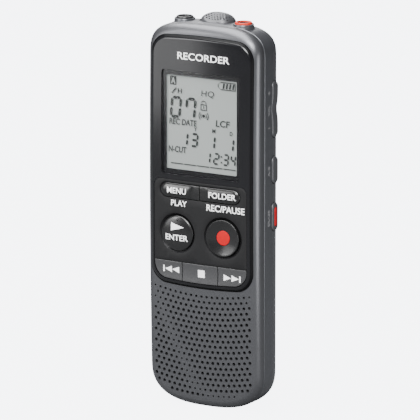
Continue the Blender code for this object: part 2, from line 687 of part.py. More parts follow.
def make_upper_end():
    for name, ring_name, side, finish in (("headphone_jack", "headphone_ring", -1, "chip_black"),
                                          ("mic_jack", "mic_jack_ring", 1, "orange_red")):
        x = side * JACK_X
        body = box(name, (x - 3.0 * MM, x + 3.0 * MM), (JACK_Y - 2.45 * MM, JACK_Y + 2.6 * MM),
                   (101 * MM, 111.2 * MM), "chip_black", 0.3 * MM)
        bore = turned("cutter", (x, JACK_Y), "Z",
                      [(JACK_BORE, 102.5 * MM), (JACK_BORE, 113 * MM)], "rubber", 24)
        cut(body, bore)
        lip = [(JACK_BORE, 111.5 * MM), (RING_RADIUS, 111.5 * MM),
               (RING_RADIUS, RING_TOP - 0.3 * MM), (RING_RADIUS - 0.3 * MM, RING_TOP),
               (JACK_BORE + 0.2 * MM, RING_TOP), (JACK_BORE, RING_TOP - 0.2 * MM),
               (JACK_BORE, 111.5 * MM)]
        turned(ring_name, (x, JACK_Y), "Z", lip, finish, 28)

    footprint = dome_outline()
    rings = [[(x, y, 112.0 * MM) for x, y in footprint],
             [(x, y, 114.6 * MM) for x, y in footprint]]
    for i in range(1, 5):
        angle = math.pi / 2 * i / 5
        shrink = math.cos(angle)
        level = 114.6 * MM + (DOME_TOP - 114.6 * MM) * math.sin(angle)
        rings.append([(x * (0.55 + 0.45 * shrink), 0.6 * MM + (y - 0.6 * MM) *
                       (0.45 + 0.55 * shrink), level) for x, y in footprint])
    bm = bmesh.new()
    stack_rings(bm, rings)
    cover = add_mesh("mic_cover", bm, "case_grey")
    cut(cover, box_cutter((-4.0 * MM, 4.0 * MM), (-2.0 * MM, 3.2 * MM), (110 * MM, 114.8 * MM)))
    turned("mic_boot", (0, 0.6 * MM), "Z",
           [(2.4 * MM, 107.4 * MM), (3.2 * MM, 107.4 * MM), (3.2 * MM, 111.7 * MM),
            (2.4 * MM, 111.7 * MM), (2.4 * MM, 107.4 * MM)], "rubber", 24)
    turned("mic_capsule", (0, 0.6 * MM), "Z",
           [(2.1 * MM, 108 * MM), (2.1 * MM, 111.4 * MM)], "steel", 20)


# ---- Side controls ------------------------------------------------------------------
def side_key(name, low, high, finish):
    """Push button, drawn from the front: a bar with rounded-off outer corners."""
    outer = HALF_WIDTH + SIDE_KEY_PROUD
    outline = [(SIDE_KEY_INNER, low), (outer - 0.4 * MM, low), (outer, low + 0.5 * MM),
               (outer, high - 0.5 * MM), (outer - 0.4 * MM, high), (SIDE_KEY_INNER, high)]
    return prism(name, outline, "Y", SIDE_KEY_Y - SIDE_KEY_HALF, SIDE_KEY_Y + SIDE_KEY_HALF,
                 finish)


def make_side_controls():
    outer = HALF_WIDTH + SIDE_KEY_PROUD
    middle = (ROCKER_LOW + ROCKER_HIGH) / 2
    outline = [(16.4 * MM, ROCKER_LOW)]
    steps = 16
    for i in range(steps + 1):
        z = ROCKER_LOW + (ROCKER_HIGH - ROCKER_LOW) * i / steps
        share = (z - middle) / (ROCKER_HIGH - middle)
        waist = 0.45 * MM * math.exp(-(share / 0.28) ** 2)
        end = 0.4 * MM * max(0.0, (abs(share) - 0.85) / 0.15) ** 2
        outline.append((outer - waist - end, z))
    outline.append((16.4 * MM, ROCKER_HIGH))
    rocker = prism("volume_rocker", outline, "Y", SIDE_KEY_Y - SIDE_KEY_HALF,
                   SIDE_KEY_Y + SIDE_KEY_HALF, "rear_grey")
    set_origin(rocker, 17.2 * MM, SIDE_KEY_Y, middle)

    repeat = side_key("repeat_button", REPEAT_LOW, REPEAT_HIGH, "rear_grey")
    set_origin(repeat, outer, SIDE_KEY_Y, (REPEAT_LOW + REPEAT_HIGH) / 2)

    erase = side_key("erase_button", ERASE_LOW, ERASE_HIGH, "rear_grey")
    stripe_y = (SIDE_KEY_Y - 0.6 * MM, SIDE_KEY_Y + 0.6 * MM)
    stripe_z = (ERASE_LOW + 1.4 * MM, ERASE_HIGH - 1.4 * MM)
    cut(erase, box_cutter((outer - 0.9 * MM, outer + 2 * MM),
                          (stripe_y[0] - 0.25 * MM, stripe_y[1] + 0.25 * MM),
                          (stripe_z[0] - 0.25 * MM, stripe_z[1] + 0.25 * MM)))
    set_origin(erase, outer, SIDE_KEY_Y, (ERASE_LOW + ERASE_HIGH) / 2)
    stripe = box("erase_stripe", (outer - 0.6 * MM, outer), stripe_y, stripe_z,
                 "orange_red")
    set_origin(stripe, outer, SIDE_KEY_Y, (ERASE_LOW + ERASE_HIGH) / 2)

    knob = box("hold_switch", (-outer, -16.4 * MM),
               (SIDE_KEY_Y - SIDE_KEY_HALF, SIDE_KEY_Y + SIDE_KEY_HALF),
               (SLIDER_LOW, SLIDER_HIGH), "rear_grey", 0.25 * MM)
    for i in range(4):
        z = SLIDER_LOW + (1.0 + i) * MM
        cut(knob, box_cutter((-outer - 1 * MM, -outer + 0.25 * MM), (-3 * MM, 4 * MM),
                             (z - 0.2 * MM, z + 0.2 * MM)))
    set_origin(knob, -outer, SIDE_KEY_Y, (SLIDER_LOW + SLIDER_HIGH) / 2)
    box("hold_switch_body", (-16.0 * MM, -13.4 * MM), (-1.2 * MM, 2.8 * MM),
        (83.5 * MM, 93.5 * MM), "steel", 0.2 * MM)

    shell = box("usb_socket", (-18.3 * MM, -9.8 * MM), (-1.6 * MM, 2.2 * MM),
                (USB_LOW, USB_HIGH), "steel")
    cut(shell, box_cutter((-20 * MM, -11 * MM), (-1.2 * MM, 1.8 * MM),
                          (USB_LOW + 0.4 * MM, USB_HIGH - 0.4 * MM)))
    tongue = box("tongue", (-16.8 * MM, -10.5 * MM), (-0.1 * MM, 0.7 * MM),
                 (USB_LOW + 1.5 * MM, USB_HIGH - 1.5 * MM), "steel")
    weld(shell, tongue)


# ---- Battery bay --------------------------------------------------------------------
def spring_rings(centre, start, length):
    """Sections of a conical coil wound along +Z."""
    turns, steps, sides, wire = 2.5, 12, 5, 0.28 * MM
    rings = []
    total = int(turns * steps)
    for i in range(total + 1):
        share = i / total
        angle = math.tau * turns * share
        radius = (2.9 - 1.3 * share) * MM
        out = (math.cos(angle), math.sin(angle))
        ring = []
        for k in range(sides):
            turn = math.tau * k / sides
            reach = radius + wire * math.cos(turn)
            ring.append((centre[0] + out[0] * reach, centre[1] + out[1] * reach,
                         start + length * share + wire * math.sin(turn)))
        rings.append(ring)
    return rings


def make_battery_bay():
    tray = box("battery_tray", (-12.4 * MM, 12.4 * MM), (-2.5 * MM, 6.0 * MM),
               (7.6 * MM, 58.6 * MM), "rear_grey")
    cut(tray, box_cutter((-11.3 * MM, 11.3 * MM), (-1.95 * MM, 12 * MM),
                         (8.4 * MM, 57.8 * MM)))
    for name, side in (("battery_cell_left", -1), ("battery_cell_right", 1)):
        profile = [(0, 0), (CELL_RADIUS - 0.5 * MM, 0), (CELL_RADIUS, 0.5 * MM),
                   (CELL_RADIUS, CELL_LENGTH - 1.3 * MM),
                   (CELL_RADIUS - 0.5 * MM, CELL_LENGTH - 0.8 * MM),
                   (1.9 * MM, CELL_LENGTH - 0.8 * MM), (1.9 * MM, CELL_LENGTH),
                   (0, CELL_LENGTH)]
        if side > 0:
            low = CELL_LOW
            placed = [(r, low + along) for r, along in profile]
        else:
            high = CELL_LOW + CELL_LENGTH
            placed = [(r, high - along) for r, along in profile]
        turned(name, (side * CELL_X, CELL_Y), "Z", placed, "cell", 28)
    for name, side, start, sign in (("battery_spring_right", 1, SPRING_LOW, 1),
                                    ("battery_spring_left", -1, SPRING_HIGH, -1)):
        bm = bmesh.new()
        stack_rings(bm, spring_rings((side * CELL_X, CELL_Y), start, sign * SPRING_LENGTH))
        add_mesh(name, bm, "steel")
    contact_y = (0.6 * MM, 5.6 * MM)
    low, high = 8.6 * MM, 57.3 * MM
    thick = 0.3 * MM
    reach = CELL_X + 4 * MM
    box("battery_bridge_contact", (-reach, reach), contact_y, (low, low + thick), "steel")
    for name, side in (("battery_contact_left", -1), ("battery_contact_right", 1)):
        spread = sorted((side * (CELL_X - 4 * MM), side * reach))
        box(name, spread, contact_y, (high, high + thick), "steel")


def make_case_screws():
    """Two screws in the upper back, with a cross recess in each head."""
    head, shank = 1.9 * MM, 0.9 * MM
    top = BACK_Y - 0.4 * MM
    for i, (x, z) in enumerate(SCREW_SPOTS):
        centre = (x * MM, z * MM)
        profile = [(shank, -3.4 * MM), (shank, top - 1.0 * MM), (head, top - 1.0 * MM),
                   (head, top - 0.3 * MM), (head - 0.4 * MM, top)]
        screw = turned(f"case_screw_{i + 1}", centre, "Y", profile, "steel", 20)
        for across, along in ((1.1, 0.25), (0.25, 1.1)):
            slot = box_cutter((centre[0] - across * MM, centre[0] + across * MM),
                              (top - 0.6 * MM, top + 1 * MM),
                              (centre[1] - along * MM, centre[1] + along * MM))
            cut(screw, slot)


def stand_on_origin():
    """Lift everything, so that the lowest point is level with the origin."""
    for piece in bpy.data.objects:
        piece.location.z += FOOT


def main():
    clear_scene()
    make_front_case()
    make_rear_case()
    make_battery_door()
    make_front_panel()
    make_key_plate()
    make_front_keys()
    make_keypad()
    make_display()
    make_boards()
    make_speaker()
    make_upper_end()
    make_side_controls()
    make_battery_bay()
    make_case_screws()
    stand_on_origin()


main()
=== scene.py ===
"""Handheld voice recorder: its visible shells, keys, display and finishes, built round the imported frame.

+X is the user's right, -Y the front with the display, +Z runs up the body. Sizes are in metres.
"""
import math

import bmesh
import bpy
import numpy as np
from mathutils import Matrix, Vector
from mathutils.geometry import delaunay_2d_cdt


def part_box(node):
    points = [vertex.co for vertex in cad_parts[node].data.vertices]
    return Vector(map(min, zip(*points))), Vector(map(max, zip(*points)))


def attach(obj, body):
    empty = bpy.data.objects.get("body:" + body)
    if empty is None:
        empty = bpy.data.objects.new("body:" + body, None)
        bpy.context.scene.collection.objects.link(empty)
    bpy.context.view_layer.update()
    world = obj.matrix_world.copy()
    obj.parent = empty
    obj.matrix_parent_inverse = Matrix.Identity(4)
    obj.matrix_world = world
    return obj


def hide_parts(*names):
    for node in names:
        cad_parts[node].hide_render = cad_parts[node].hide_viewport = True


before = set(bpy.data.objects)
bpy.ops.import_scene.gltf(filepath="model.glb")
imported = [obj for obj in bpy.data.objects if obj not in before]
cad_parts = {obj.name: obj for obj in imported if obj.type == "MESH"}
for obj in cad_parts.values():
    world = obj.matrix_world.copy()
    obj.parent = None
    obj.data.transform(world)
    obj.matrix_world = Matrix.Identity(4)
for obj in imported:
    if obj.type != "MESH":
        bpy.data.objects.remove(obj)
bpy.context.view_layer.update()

bl_info = {
    "name": "Voice Recorder Builder",
    "version": (1, 0, 0),
    "blender": (4, 5, 0),
    "location": "View3D > Sidebar > Recorder",
    "description": "Builds a handheld voice recorder round its mechanical frame",
    "category": "Object",
}

MM = 0.001

# ---- Sizes read from the frame -----------------------------------------------------------------
HALF_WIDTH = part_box("front_case")[1].x
BODY_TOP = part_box("front_case")[1].z
BACK_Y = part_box("rear_case")[1].y
FRONT_Y = -BACK_Y                      # crest of the glossy panel
RIM_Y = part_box("front_case")[1].y      # where the front case ends
REAR_RIM_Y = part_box("rear_case")[0].y
PANEL_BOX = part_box("front_panel")
PLATE_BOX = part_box("key_plate")
LENS_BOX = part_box("display_window")
LCD_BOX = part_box("lcd_module")
PILL_BOX = (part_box("menu_key")[0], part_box("folder_key")[1])
ROW_BOX = (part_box("rewind_key")[0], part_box("forward_key")[1])
ENTER_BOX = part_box("enter_key")
REC_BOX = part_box("rec_key")
ROCKER_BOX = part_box("volume_rocker")
REPEAT_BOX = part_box("repeat_button")
ERASE_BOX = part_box("erase_button")
STRIPE_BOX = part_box("erase_stripe")
HOLD_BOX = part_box("hold_switch")
USB_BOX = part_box("usb_socket")
DOOR_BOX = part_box("battery_door")
MIC_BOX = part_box("mic_cover")
RING_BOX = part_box("mic_jack_ring")

# ---- Shape of the body -------------------------------------------------------------------------
WALL = 1.3 * MM
ARCH_RADIUS = 300 * MM                 # front face, across the width
BOW_RADIUS = 1700 * MM                 # front face, along the height
BOW_CREST_Z = 67.9 * MM
PANEL_RISE = 0.8 * MM                  # the panel's face stands this far above the case
TOP_CAP, TOP_EXPONENT = 10 * MM, 3.2
BOTTOM_CAP, BOTTOM_EXPONENT = 12 * MM, 2.7
FRONT_ROLL = (2.5 * MM, 2.8 * MM, 3.2 * MM, 2.4 * MM)    # at the sides, in depth, top, bottom
REAR_ROLL = (12.8 * MM, 11.0 * MM, 8.5 * MM, 3.6 * MM)
OUTLINE_POINTS = 200                   # a multiple of four
RIM_ROUND = 0.12 * MM

PANEL_HALF = PANEL_BOX[1].x
PANEL_CORNER = 5.2 * MM
PANEL_END_BOW = 0.9 * MM
PANEL_DEPTH = 1.2 * MM
PANEL_BAND = 1.3 * MM
REVEAL = 0.12 * MM                     # hairline gap round the panel and the plates
PLATE_HALF = 15.6 * MM
FIELD_LOWER_CORNER, FIELD_UPPER_CORNER = 4.0 * MM, 2.2 * MM

ROW_TOP = ROW_BOX[1].z
ROW_DIVIDER = 6.0 * MM
KEY_BACK_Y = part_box("stop_key")[1].y

JACK_X = (RING_BOX[0].x + RING_BOX[1].x) / 2
JACK_Y = (RING_BOX[0].y + RING_BOX[1].y) / 2
RING_RADIUS = (RING_BOX[1].x - RING_BOX[0].x) / 2
JACK_BORE = 1.8 * MM
MIC_Y = (MIC_BOX[0].y + MIC_BOX[1].y) / 2
MIC_SLOPE = 0.52                       # rise of the cover's scooped face towards the back

SIDE_KEY_Y = (REPEAT_BOX[0].y + REPEAT_BOX[1].y) / 2
SIDE_KEY_HALF = (REPEAT_BOX[1].y - REPEAT_BOX[0].y) / 2
SIDE_KEY_INNER = 16.2 * MM             # how far in a side button reaches
SIDE_KNOB_INNER = 16.4 * MM            # the same for the rocker and the hold knob

# ---- Reach of the cutters, from inside the wall to outside the body ----------------------------
SIDE_REACH = (14 * MM, 22 * MM)
END_REACH = (108 * MM, 120 * MM)
OUTSIDE_Y = 14 * MM


# ---- User settings -----------------------------------------------------------------------------
def length(label, text, value):
    return bpy.props.FloatProperty(name=label, description=text, default=value, unit="LENGTH",
                                   precision=5)


def colour(label, text, value):
    return bpy.props.FloatVectorProperty(name=label, description=text, default=value, size=3,
                                         subtype="COLOR", min=0.0, max=1.0)


class RecorderColours(bpy.types.PropertyGroup):
    case: colour("Front Case", "Metallic paint of the front case", (0.09, 0.091, 0.097))
    rear: colour("Rear Case", "Metallic paint of the rear case", (0.092, 0.094, 0.102))
    panel: colour("Panel", "Polished panel round the display and keys", (0.006, 0.006, 0.007))
    plate: colour("Key Plate", "Matte plate round the keys", (0.0065, 0.0065, 0.007))
    key: colour("Keys", "Dark polished keys", (0.007, 0.007, 0.0072))
    row: colour("Transport Keys", "Satin keys in the lower row", (0.06, 0.06, 0.062))
    red: colour("Record Mark", "Insert of the record key", (0.40, 0.003, 0.006))
    ring: colour("Socket Ring", "Ring of the microphone socket", (0.50, 0.022, 0.008))
    display: colour("Display", "Reflector of the display", (0.30, 0.322, 0.312))
    ink: colour("Segments", "Dark segments of the display", (0.010, 0.012, 0.012))
    legend: colour("Legends", "Printed legends on the keys", (0.97, 0.97, 0.97))


class RecorderGrille(bpy.types.PropertyGroup):
    rows: bpy.props.IntProperty(name="Rows", description="Rows of holes", default=19, min=1)
    columns: bpy.props.IntProperty(name="Columns", description="Holes in a full row",
                                   default=19, min=1)
    pitch: length("Pitch", "Distance between the holes of a row", 1.77 * MM)
    spacing: length("Row Spacing", "Distance between rows", 1.67 * MM)
    top: length("Top Row", "Height of the top row at the middle", 33.95 * MM)
    lift: length("Row Lift", "How far a row rises at its ends", 1.8 * MM)
    radius: length("Hole Radius", "Radius of a hole in the middle of the field", 0.49 * MM)


class RecorderStage(bpy.types.PropertyGroup):
    azimuth: bpy.props.FloatProperty(name="Azimuth", description="Camera's turn about the object",
                                     default=math.radians(30.19), subtype="ANGLE")
    elevation: bpy.props.FloatProperty(name="Elevation", description="Camera's height angle",
                                       default=math.radians(12.93), subtype="ANGLE")
    distance: length("Distance", "Camera to target", 1.6)
    target: bpy.props.FloatVectorProperty(name="Target", description="Point the camera looks at",
                                          default=(-2.41 * MM, 0.0, 57.98 * MM),
                                          subtype="TRANSLATION", precision=5)
    lens: bpy.props.FloatProperty(name="Focal Length", description="In millimetres",
                                  default=465.7, min=1.0)
    floor: colour("Floor", "Colour of the floor", (0.86, 0.885, 0.93))


# ---- Node trees --------------------------------------------------------------------------------
class Graph:
    """Adds and links nodes, so that a formula made of nodes reads like one."""

    def __init__(self, tree):
        self.tree = tree

    def node(self, kind, **settings):
        made = self.tree.nodes.new(kind)
        for name, value in settings.items():
            setattr(made, name, value)
        return made

    def feed(self, socket, value):
        if isinstance(value, bpy.types.NodeSocket):
            self.tree.links.new(value, socket)
        elif value is not None:
            socket.default_value = value

    def math(self, operation, a, b=None):
        made = self.node("ShaderNodeMath", operation=operation)
        for socket, value in zip(made.inputs, (a, b)):
            self.feed(socket, value)
        return made.outputs[0]

    def ramp(self, value, low, high, to_low, to_high):
        """Value between two limits, mapped to another pair."""
        made = self.node("ShaderNodeMapRange")
        for socket, given in zip(made.inputs, (value, low, high, to_low, to_high)):
            self.feed(socket, given)
        return made.outputs[0]

    def noise(self, place, size, detail=2.0):
        made = self.node("ShaderNodeTexNoise")
        self.feed(made.inputs["Vector"], place)
        self.feed(made.inputs["Scale"], 1.0 / size)
        self.feed(made.inputs["Detail"], detail)
        return made.outputs[0]


def shade(base, factor):
    return tuple(min(1.0, max(0.0, part * factor)) for part in base[:3]) + (1.0,)


def finish(name, base, metallic=0.0, roughness=0.4, spread=0.06, blotch=14 * MM, grain=0.25 * MM,
           relief=0.004 * MM, smudge=0.08, flake=0.0, **sockets):
    """Moulded or painted surface: cloudy colour, fine grain and uneven gloss, all from noise."""
    found = bpy.data.materials.get(name)
    if found:
        return found
    made = bpy.data.materials.new(name)
    made.use_nodes = True
    g = Graph(made.node_tree)
    shader = made.node_tree.nodes["Principled BSDF"]
    place = g.node("ShaderNodeTexCoord").outputs["Object"]

    tint = g.node("ShaderNodeMix", data_type="RGBA")
    g.feed(tint.inputs["Factor"], g.noise(place, blotch, 3.0))
    g.feed(tint.inputs[6], shade(base, 1 - spread))
    g.feed(tint.inputs[7], shade(base, 1 + spread))
    base_colour = tint.outputs[2]
    if flake:
        cells = g.node("ShaderNodeTexVoronoi")
        g.feed(cells.inputs["Vector"], place)
        g.feed(cells.inputs["Scale"], 1 / (0.16 * MM))
        spark = g.node("ShaderNodeMix", data_type="RGBA")
        g.feed(spark.inputs["Factor"], g.ramp(cells.outputs["Distance"], 0.1, 0.8, 0.0, 1.0))
        g.feed(spark.inputs[6], shade(base, 1 + flake))
        g.feed(spark.inputs[7], base_colour)
        base_colour = spark.outputs[2]
    g.feed(shader.inputs["Base Color"], base_colour)

    uneven = g.noise(place, blotch * 0.6, 4.0)
    g.feed(shader.inputs["Roughness"],
           g.ramp(uneven, 0.3, 0.7, max(0.02, roughness - smudge / 2), roughness + smudge / 2))
    bump = g.node("ShaderNodeBump")
    g.feed(bump.inputs["Height"], g.noise(place, grain, 2.0))
    g.feed(bump.inputs["Distance"], relief)
    bump.inputs["Strength"].default_value = 1.0
    g.feed(shader.inputs["Normal"], bump.outputs["Normal"])
    shader.inputs["Metallic"].default_value = metallic
    for socket, value in sockets.items():
        shader.inputs[socket.replace("_", " ")].default_value = value
    return made


def case_paint():
    return finish("case_paint", bpy.context.scene.recorder_colours.case, metallic=0.8,
                  roughness=0.36, spread=0.03, grain=0.12 * MM, relief=0.0035 * MM, smudge=0.05,
                  flake=0.35)


def rear_paint():
    return finish("rear_paint", bpy.context.scene.recorder_colours.rear, metallic=0.75,
                  roughness=0.38, spread=0.04, grain=0.15 * MM, relief=0.003 * MM, smudge=0.06,
                  flake=0.25)


def side_key_paint():
    return finish("side_key_paint", (0.068, 0.069, 0.074), metallic=0.5, roughness=0.42,
                  spread=0.05, grain=0.15 * MM, relief=0.003 * MM, smudge=0.06, flake=0.15)


def panel_acrylic():
    return finish("panel_acrylic", bpy.context.scene.recorder_colours.panel, roughness=0.17,
                  spread=0.1, grain=9 * MM, relief=0.002 * MM, smudge=0.03, IOR=1.4)


def panel_rim():
    return finish("panel_rim", (0.004, 0.004, 0.0045), roughness=0.3, spread=0.1,
                  grain=0.3 * MM, relief=0.001 * MM, smudge=0.04, IOR=1.16)


def plate_matte():
    return finish("plate_matte", bpy.context.scene.recorder_colours.plate, roughness=0.58,
                  spread=0.04, grain=0.10 * MM, relief=0.004 * MM, IOR=1.34)


def key_gloss():
    return finish("key_gloss", bpy.context.scene.recorder_colours.key, roughness=0.24,
                  spread=0.04, grain=0.2 * MM, relief=0.001 * MM, smudge=0.05)


def row_satin():
    return finish("row_satin", bpy.context.scene.recorder_colours.row, metallic=0.45,
                  roughness=0.36, spread=0.03, grain=0.12 * MM, relief=0.003 * MM, flake=0.15)


def record_red():
    return finish("record_red", bpy.context.scene.recorder_colours.red, roughness=0.45,
                  spread=0.04, grain=0.3 * MM, relief=0.001 * MM, IOR=1.3)


def ring_red():
    return finish("ring_red", bpy.context.scene.recorder_colours.ring, roughness=0.4,
                  spread=0.05, grain=0.2 * MM, relief=0.001 * MM, IOR=1.35)


def socket_black():
    return finish("socket_black", (0.02, 0.02, 0.021), roughness=0.35, spread=0.1,
                  grain=0.2 * MM, relief=0.001 * MM)


def legend_white():
    return finish("legend_white", bpy.context.scene.recorder_colours.legend, roughness=0.45,
                  spread=0.02, grain=0.08 * MM, relief=0.001 * MM)


def side_print():
    return finish("side_print", (0.16, 0.16, 0.165), roughness=0.5, spread=0.03, grain=0.08 * MM,
                  relief=0.001 * MM)


def display_reflector():
    return finish("display_reflector", bpy.context.scene.recorder_colours.display,
                  roughness=0.45, spread=0.025, blotch=9 * MM, grain=0.12 * MM,
                  relief=0.002 * MM)


def display_ink():
    return finish("display_ink", bpy.context.scene.recorder_colours.ink, roughness=0.5,
                  spread=0.12, blotch=3 * MM, grain=0.1 * MM, relief=0.0005 * MM)


def display_shade():
    """Faint shadow that the segments throw on the reflector behind them."""
    return finish("display_shade", shade(bpy.context.scene.recorder_colours.display, 0.62),
                  roughness=0.5, spread=0.03, blotch=4 * MM, grain=0.1 * MM, relief=0.0005 * MM)


def steel():
    return finish("bare_steel", (0.60, 0.60, 0.61), metallic=1.0, roughness=0.3, spread=0.06,
                  blotch=4 * MM, grain=0.3 * MM, relief=0.002 * MM, smudge=0.14)


def window_clear():
    """Clear window with a faint smoky tint."""
    made = finish("window_clear", (0.02, 0.02, 0.021), roughness=0.12, spread=0.05,
                  grain=9 * MM, relief=0.001 * MM, smudge=0.03)
    made.node_tree.nodes["Principled BSDF"].inputs["Alpha"].default_value = 0.08
    return made


# ---- Mesh tools --------------------------------------------------------------------------------
def add_piece(name, bm, material, body, nodes=(), angle=38):
    """Turn a bmesh into a finished piece that rides on a body and stands for CAD nodes."""
    bmesh.ops.remove_doubles(bm, verts=bm.verts[:], dist=0.0005 * MM)
    bmesh.ops.recalc_face_normals(bm, faces=bm.faces)
    mesh = bpy.data.meshes.new(name)
    bm.to_mesh(mesh)
    bm.free()
    return add_mesh(name, mesh, material, body, nodes, angle)


def add_mesh(name, mesh, material, body, nodes=(), angle=38):
    mesh.materials.clear()
    mesh.materials.append(material)
    mesh.polygons.foreach_set("material_index", [0] * len(mesh.polygons))
    mesh.shade_smooth()
    mesh.set_sharp_from_angle(angle=math.radians(angle))
    piece = bpy.data.objects.new(name, mesh)
    bpy.context.scene.collection.objects.link(piece)
    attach(piece, body)
    if nodes:
        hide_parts(*nodes)
    return piece


def scratch(bm, name="cutter"):
    """Helper object for a Boolean, not part of the recorder."""
    bmesh.ops.recalc_face_normals(bm, faces=bm.faces)
    mesh = bpy.data.meshes.new(name)
    bm.to_mesh(mesh)
    bm.free()
    made = bpy.data.objects.new(name, mesh)
    bpy.context.scene.collection.objects.link(made)
    return made


def evaluated_mesh(target):
    bpy.context.view_layer.update()
    graph = bpy.context.evaluated_depsgraph_get()
    return bpy.data.meshes.new_from_object(target.evaluated_get(graph))


def combine(target, other, operation="DIFFERENCE"):
    """Boolean with a helper object, which is used up."""
    modifier = target.modifiers.new("combine", "BOOLEAN")
    modifier.operation = operation
    modifier.object = other
    modifier.solver = "MANIFOLD"
    result = evaluated_mesh(target)
    target.modifiers.remove(modifier)
    target.data = result
    bpy.data.objects.remove(other, do_unlink=True)


def bridge(bm, first, second):
    """Faces between two closed rings of vertices; a single vertex is a pole."""
    count = max(len(first), len(second))
    for i in range(count):
        j = (i + 1) % count
        if len(first) == 1:
            bm.faces.new((first[0], second[i], second[j]))
        elif len(second) == 1:
            bm.faces.new((first[i], first[j], second[0]))
        else:
            bm.faces.new((first[i], first[j], second[j], second[i]))


def stack(bm, rings, cap_first=True, cap_last=True):
    layers = [[bm.verts.new(point) for point in ring] for ring in rings]
    for low, high in zip(layers, layers[1:]):
        bridge(bm, low, high)
    if cap_first and len(layers[0]) > 2:
        bm.faces.new(layers[0])
    if cap_last and len(layers[-1]) > 2:
        bm.faces.new(layers[-1])
    return layers


def turned(centre, axis, profile, steps=64):
    """Solid of revolution as a bmesh; profile holds (radius, distance along the axis)."""
    rings = []
    for radius, along in profile:
        ring = []
        for i in range(steps if radius > 0 else 1):
            angle = math.tau * i / steps
            u, v = radius * math.cos(angle), radius * math.sin(angle)
            if axis == "Y":
                ring.append((centre[0] + u, along, centre[1] + v))
            else:
                ring.append((centre[0] + u, centre[1] + v, along))
        rings.append(ring)
    bm = bmesh.new()
    hollow = profile[0] == profile[-1]
    stack(bm, rings, not hollow, not hollow)
    if hollow:
        bmesh.ops.remove_doubles(bm, verts=bm.verts[:], dist=0.001 * MM)
    return bm


def arc(centre, radius, start, end, steps):
    """Points along an arc, angles in degrees."""
    points = []
    for i in range(steps + 1):
        angle = math.radians(start + (end - start) * i / steps)
        points.append((centre[0] + radius * math.cos(angle), centre[1] + radius * math.sin(angle)))
    return points


def rounded_rectangle(x, z, radius, steps=10):
    """Counterclockwise outline between (low, high) pairs."""
    points = []
    for cx, cz, start in ((x[1] - radius, z[1] - radius, 0), (x[0] + radius, z[1] - radius, 90),
                          (x[0] + radius, z[0] + radius, 180), (x[1] - radius, z[0] + radius, 270)):
        points += arc((cx, cz), radius, start, start + 90, steps)
    return points


def refined(outline, longest):
    """Outline with extra points along its long sides."""
    points = []
    for (x0, z0), (x1, z1) in zip(outline, outline[1:] + outline[:1]):
        distance = math.hypot(x1 - x0, z1 - z0)
        if distance < 0.02 * MM:
            continue
        parts = max(1, math.ceil(distance / longest))
        points += [(x0 + (x1 - x0) * i / parts, z0 + (z1 - z0) * i / parts)
                   for i in range(parts)]
    return points


def inset(outline, distance):
    """Closed outline moved to its left, along the mitre at each point."""
    moved = []
    count = len(outline)
    for i, (x, z) in enumerate(outline):
        before, after = outline[i - 1], outline[(i + 1) % count]
        first = Vector((before[1] - z, x - before[0])).normalized()
        second = Vector((z - after[1], after[0] - x)).normalized()
        mitre = (first + second).normalized()
        reach = distance / max(0.35, mitre.dot(first))
        moved.append((x + mitre.x * reach, z + mitre.y * reach))
    return moved


def inside(points, outline):
    """Which of the points (an array of pairs) lie inside a closed outline."""
    x, z = points[:, 0], points[:, 1]
    result = np.zeros(len(points), bool)
    loop = np.array(outline)
    for (x0, z0), (x1, z1) in zip(loop, np.roll(loop, -1, axis=0)):
        if z0 == z1:
            continue
        crosses = (z0 > z) != (z1 > z)
        result ^= crosses & (x < (x1 - x0) * (z - z0) / (z1 - z0) + x0)
    return result


def filled(outlines, spacing):
    """Triangles inside the first outline and outside the others, with points on a grid between."""
    outer = np.array(outlines[0])
    low, high = outer.min(0), outer.max(0)
    xs = np.arange(low[0] + spacing / 2, high[0], spacing)
    zs = np.arange(low[1] + spacing / 2, high[1], spacing)
    grid = np.array([(x, z) for z in zs for x in xs]).reshape(-1, 2)
    keep = inside(grid, outlines[0])
    for hole in outlines[1:]:
        keep &= ~inside(grid, hole)
    edge = np.array([point for outline in outlines for point in outline])
    if len(grid):
        gap = np.sqrt(((grid[:, None, :] - edge[None, :, :]) ** 2).sum(2)).min(1)
        grid = grid[keep & (gap > 0.55 * spacing)]
    points = [Vector(p) / MM for p in edge] + [Vector(p) / MM for p in grid]
    links, starts, start = [], [], 0
    for outline in outlines:
        starts.append(start)
        links += [(start + i, start + (i + 1) % len(outline)) for i in range(len(outline))]
        start += len(outline)
    found, _, faces, sources, _, _ = delaunay_2d_cdt(points, links, [], 0, 1e-5)
    places = [(p.x * MM, p.y * MM) for p in found]
    where = {source: i for i, group in enumerate(sources) for source in group}
    middles = np.array([np.mean([places[k] for k in face], axis=0) for face in faces])
    good = inside(middles, outlines[0])
    for hole in outlines[1:]:
        good &= ~inside(middles, hole)
    kept = [face for face, ok in zip(faces, good) if ok]
    loops = [[where[start + i] for i in range(len(outline))]
             for start, outline in zip(starts, outlines)]
    return places, kept, loops


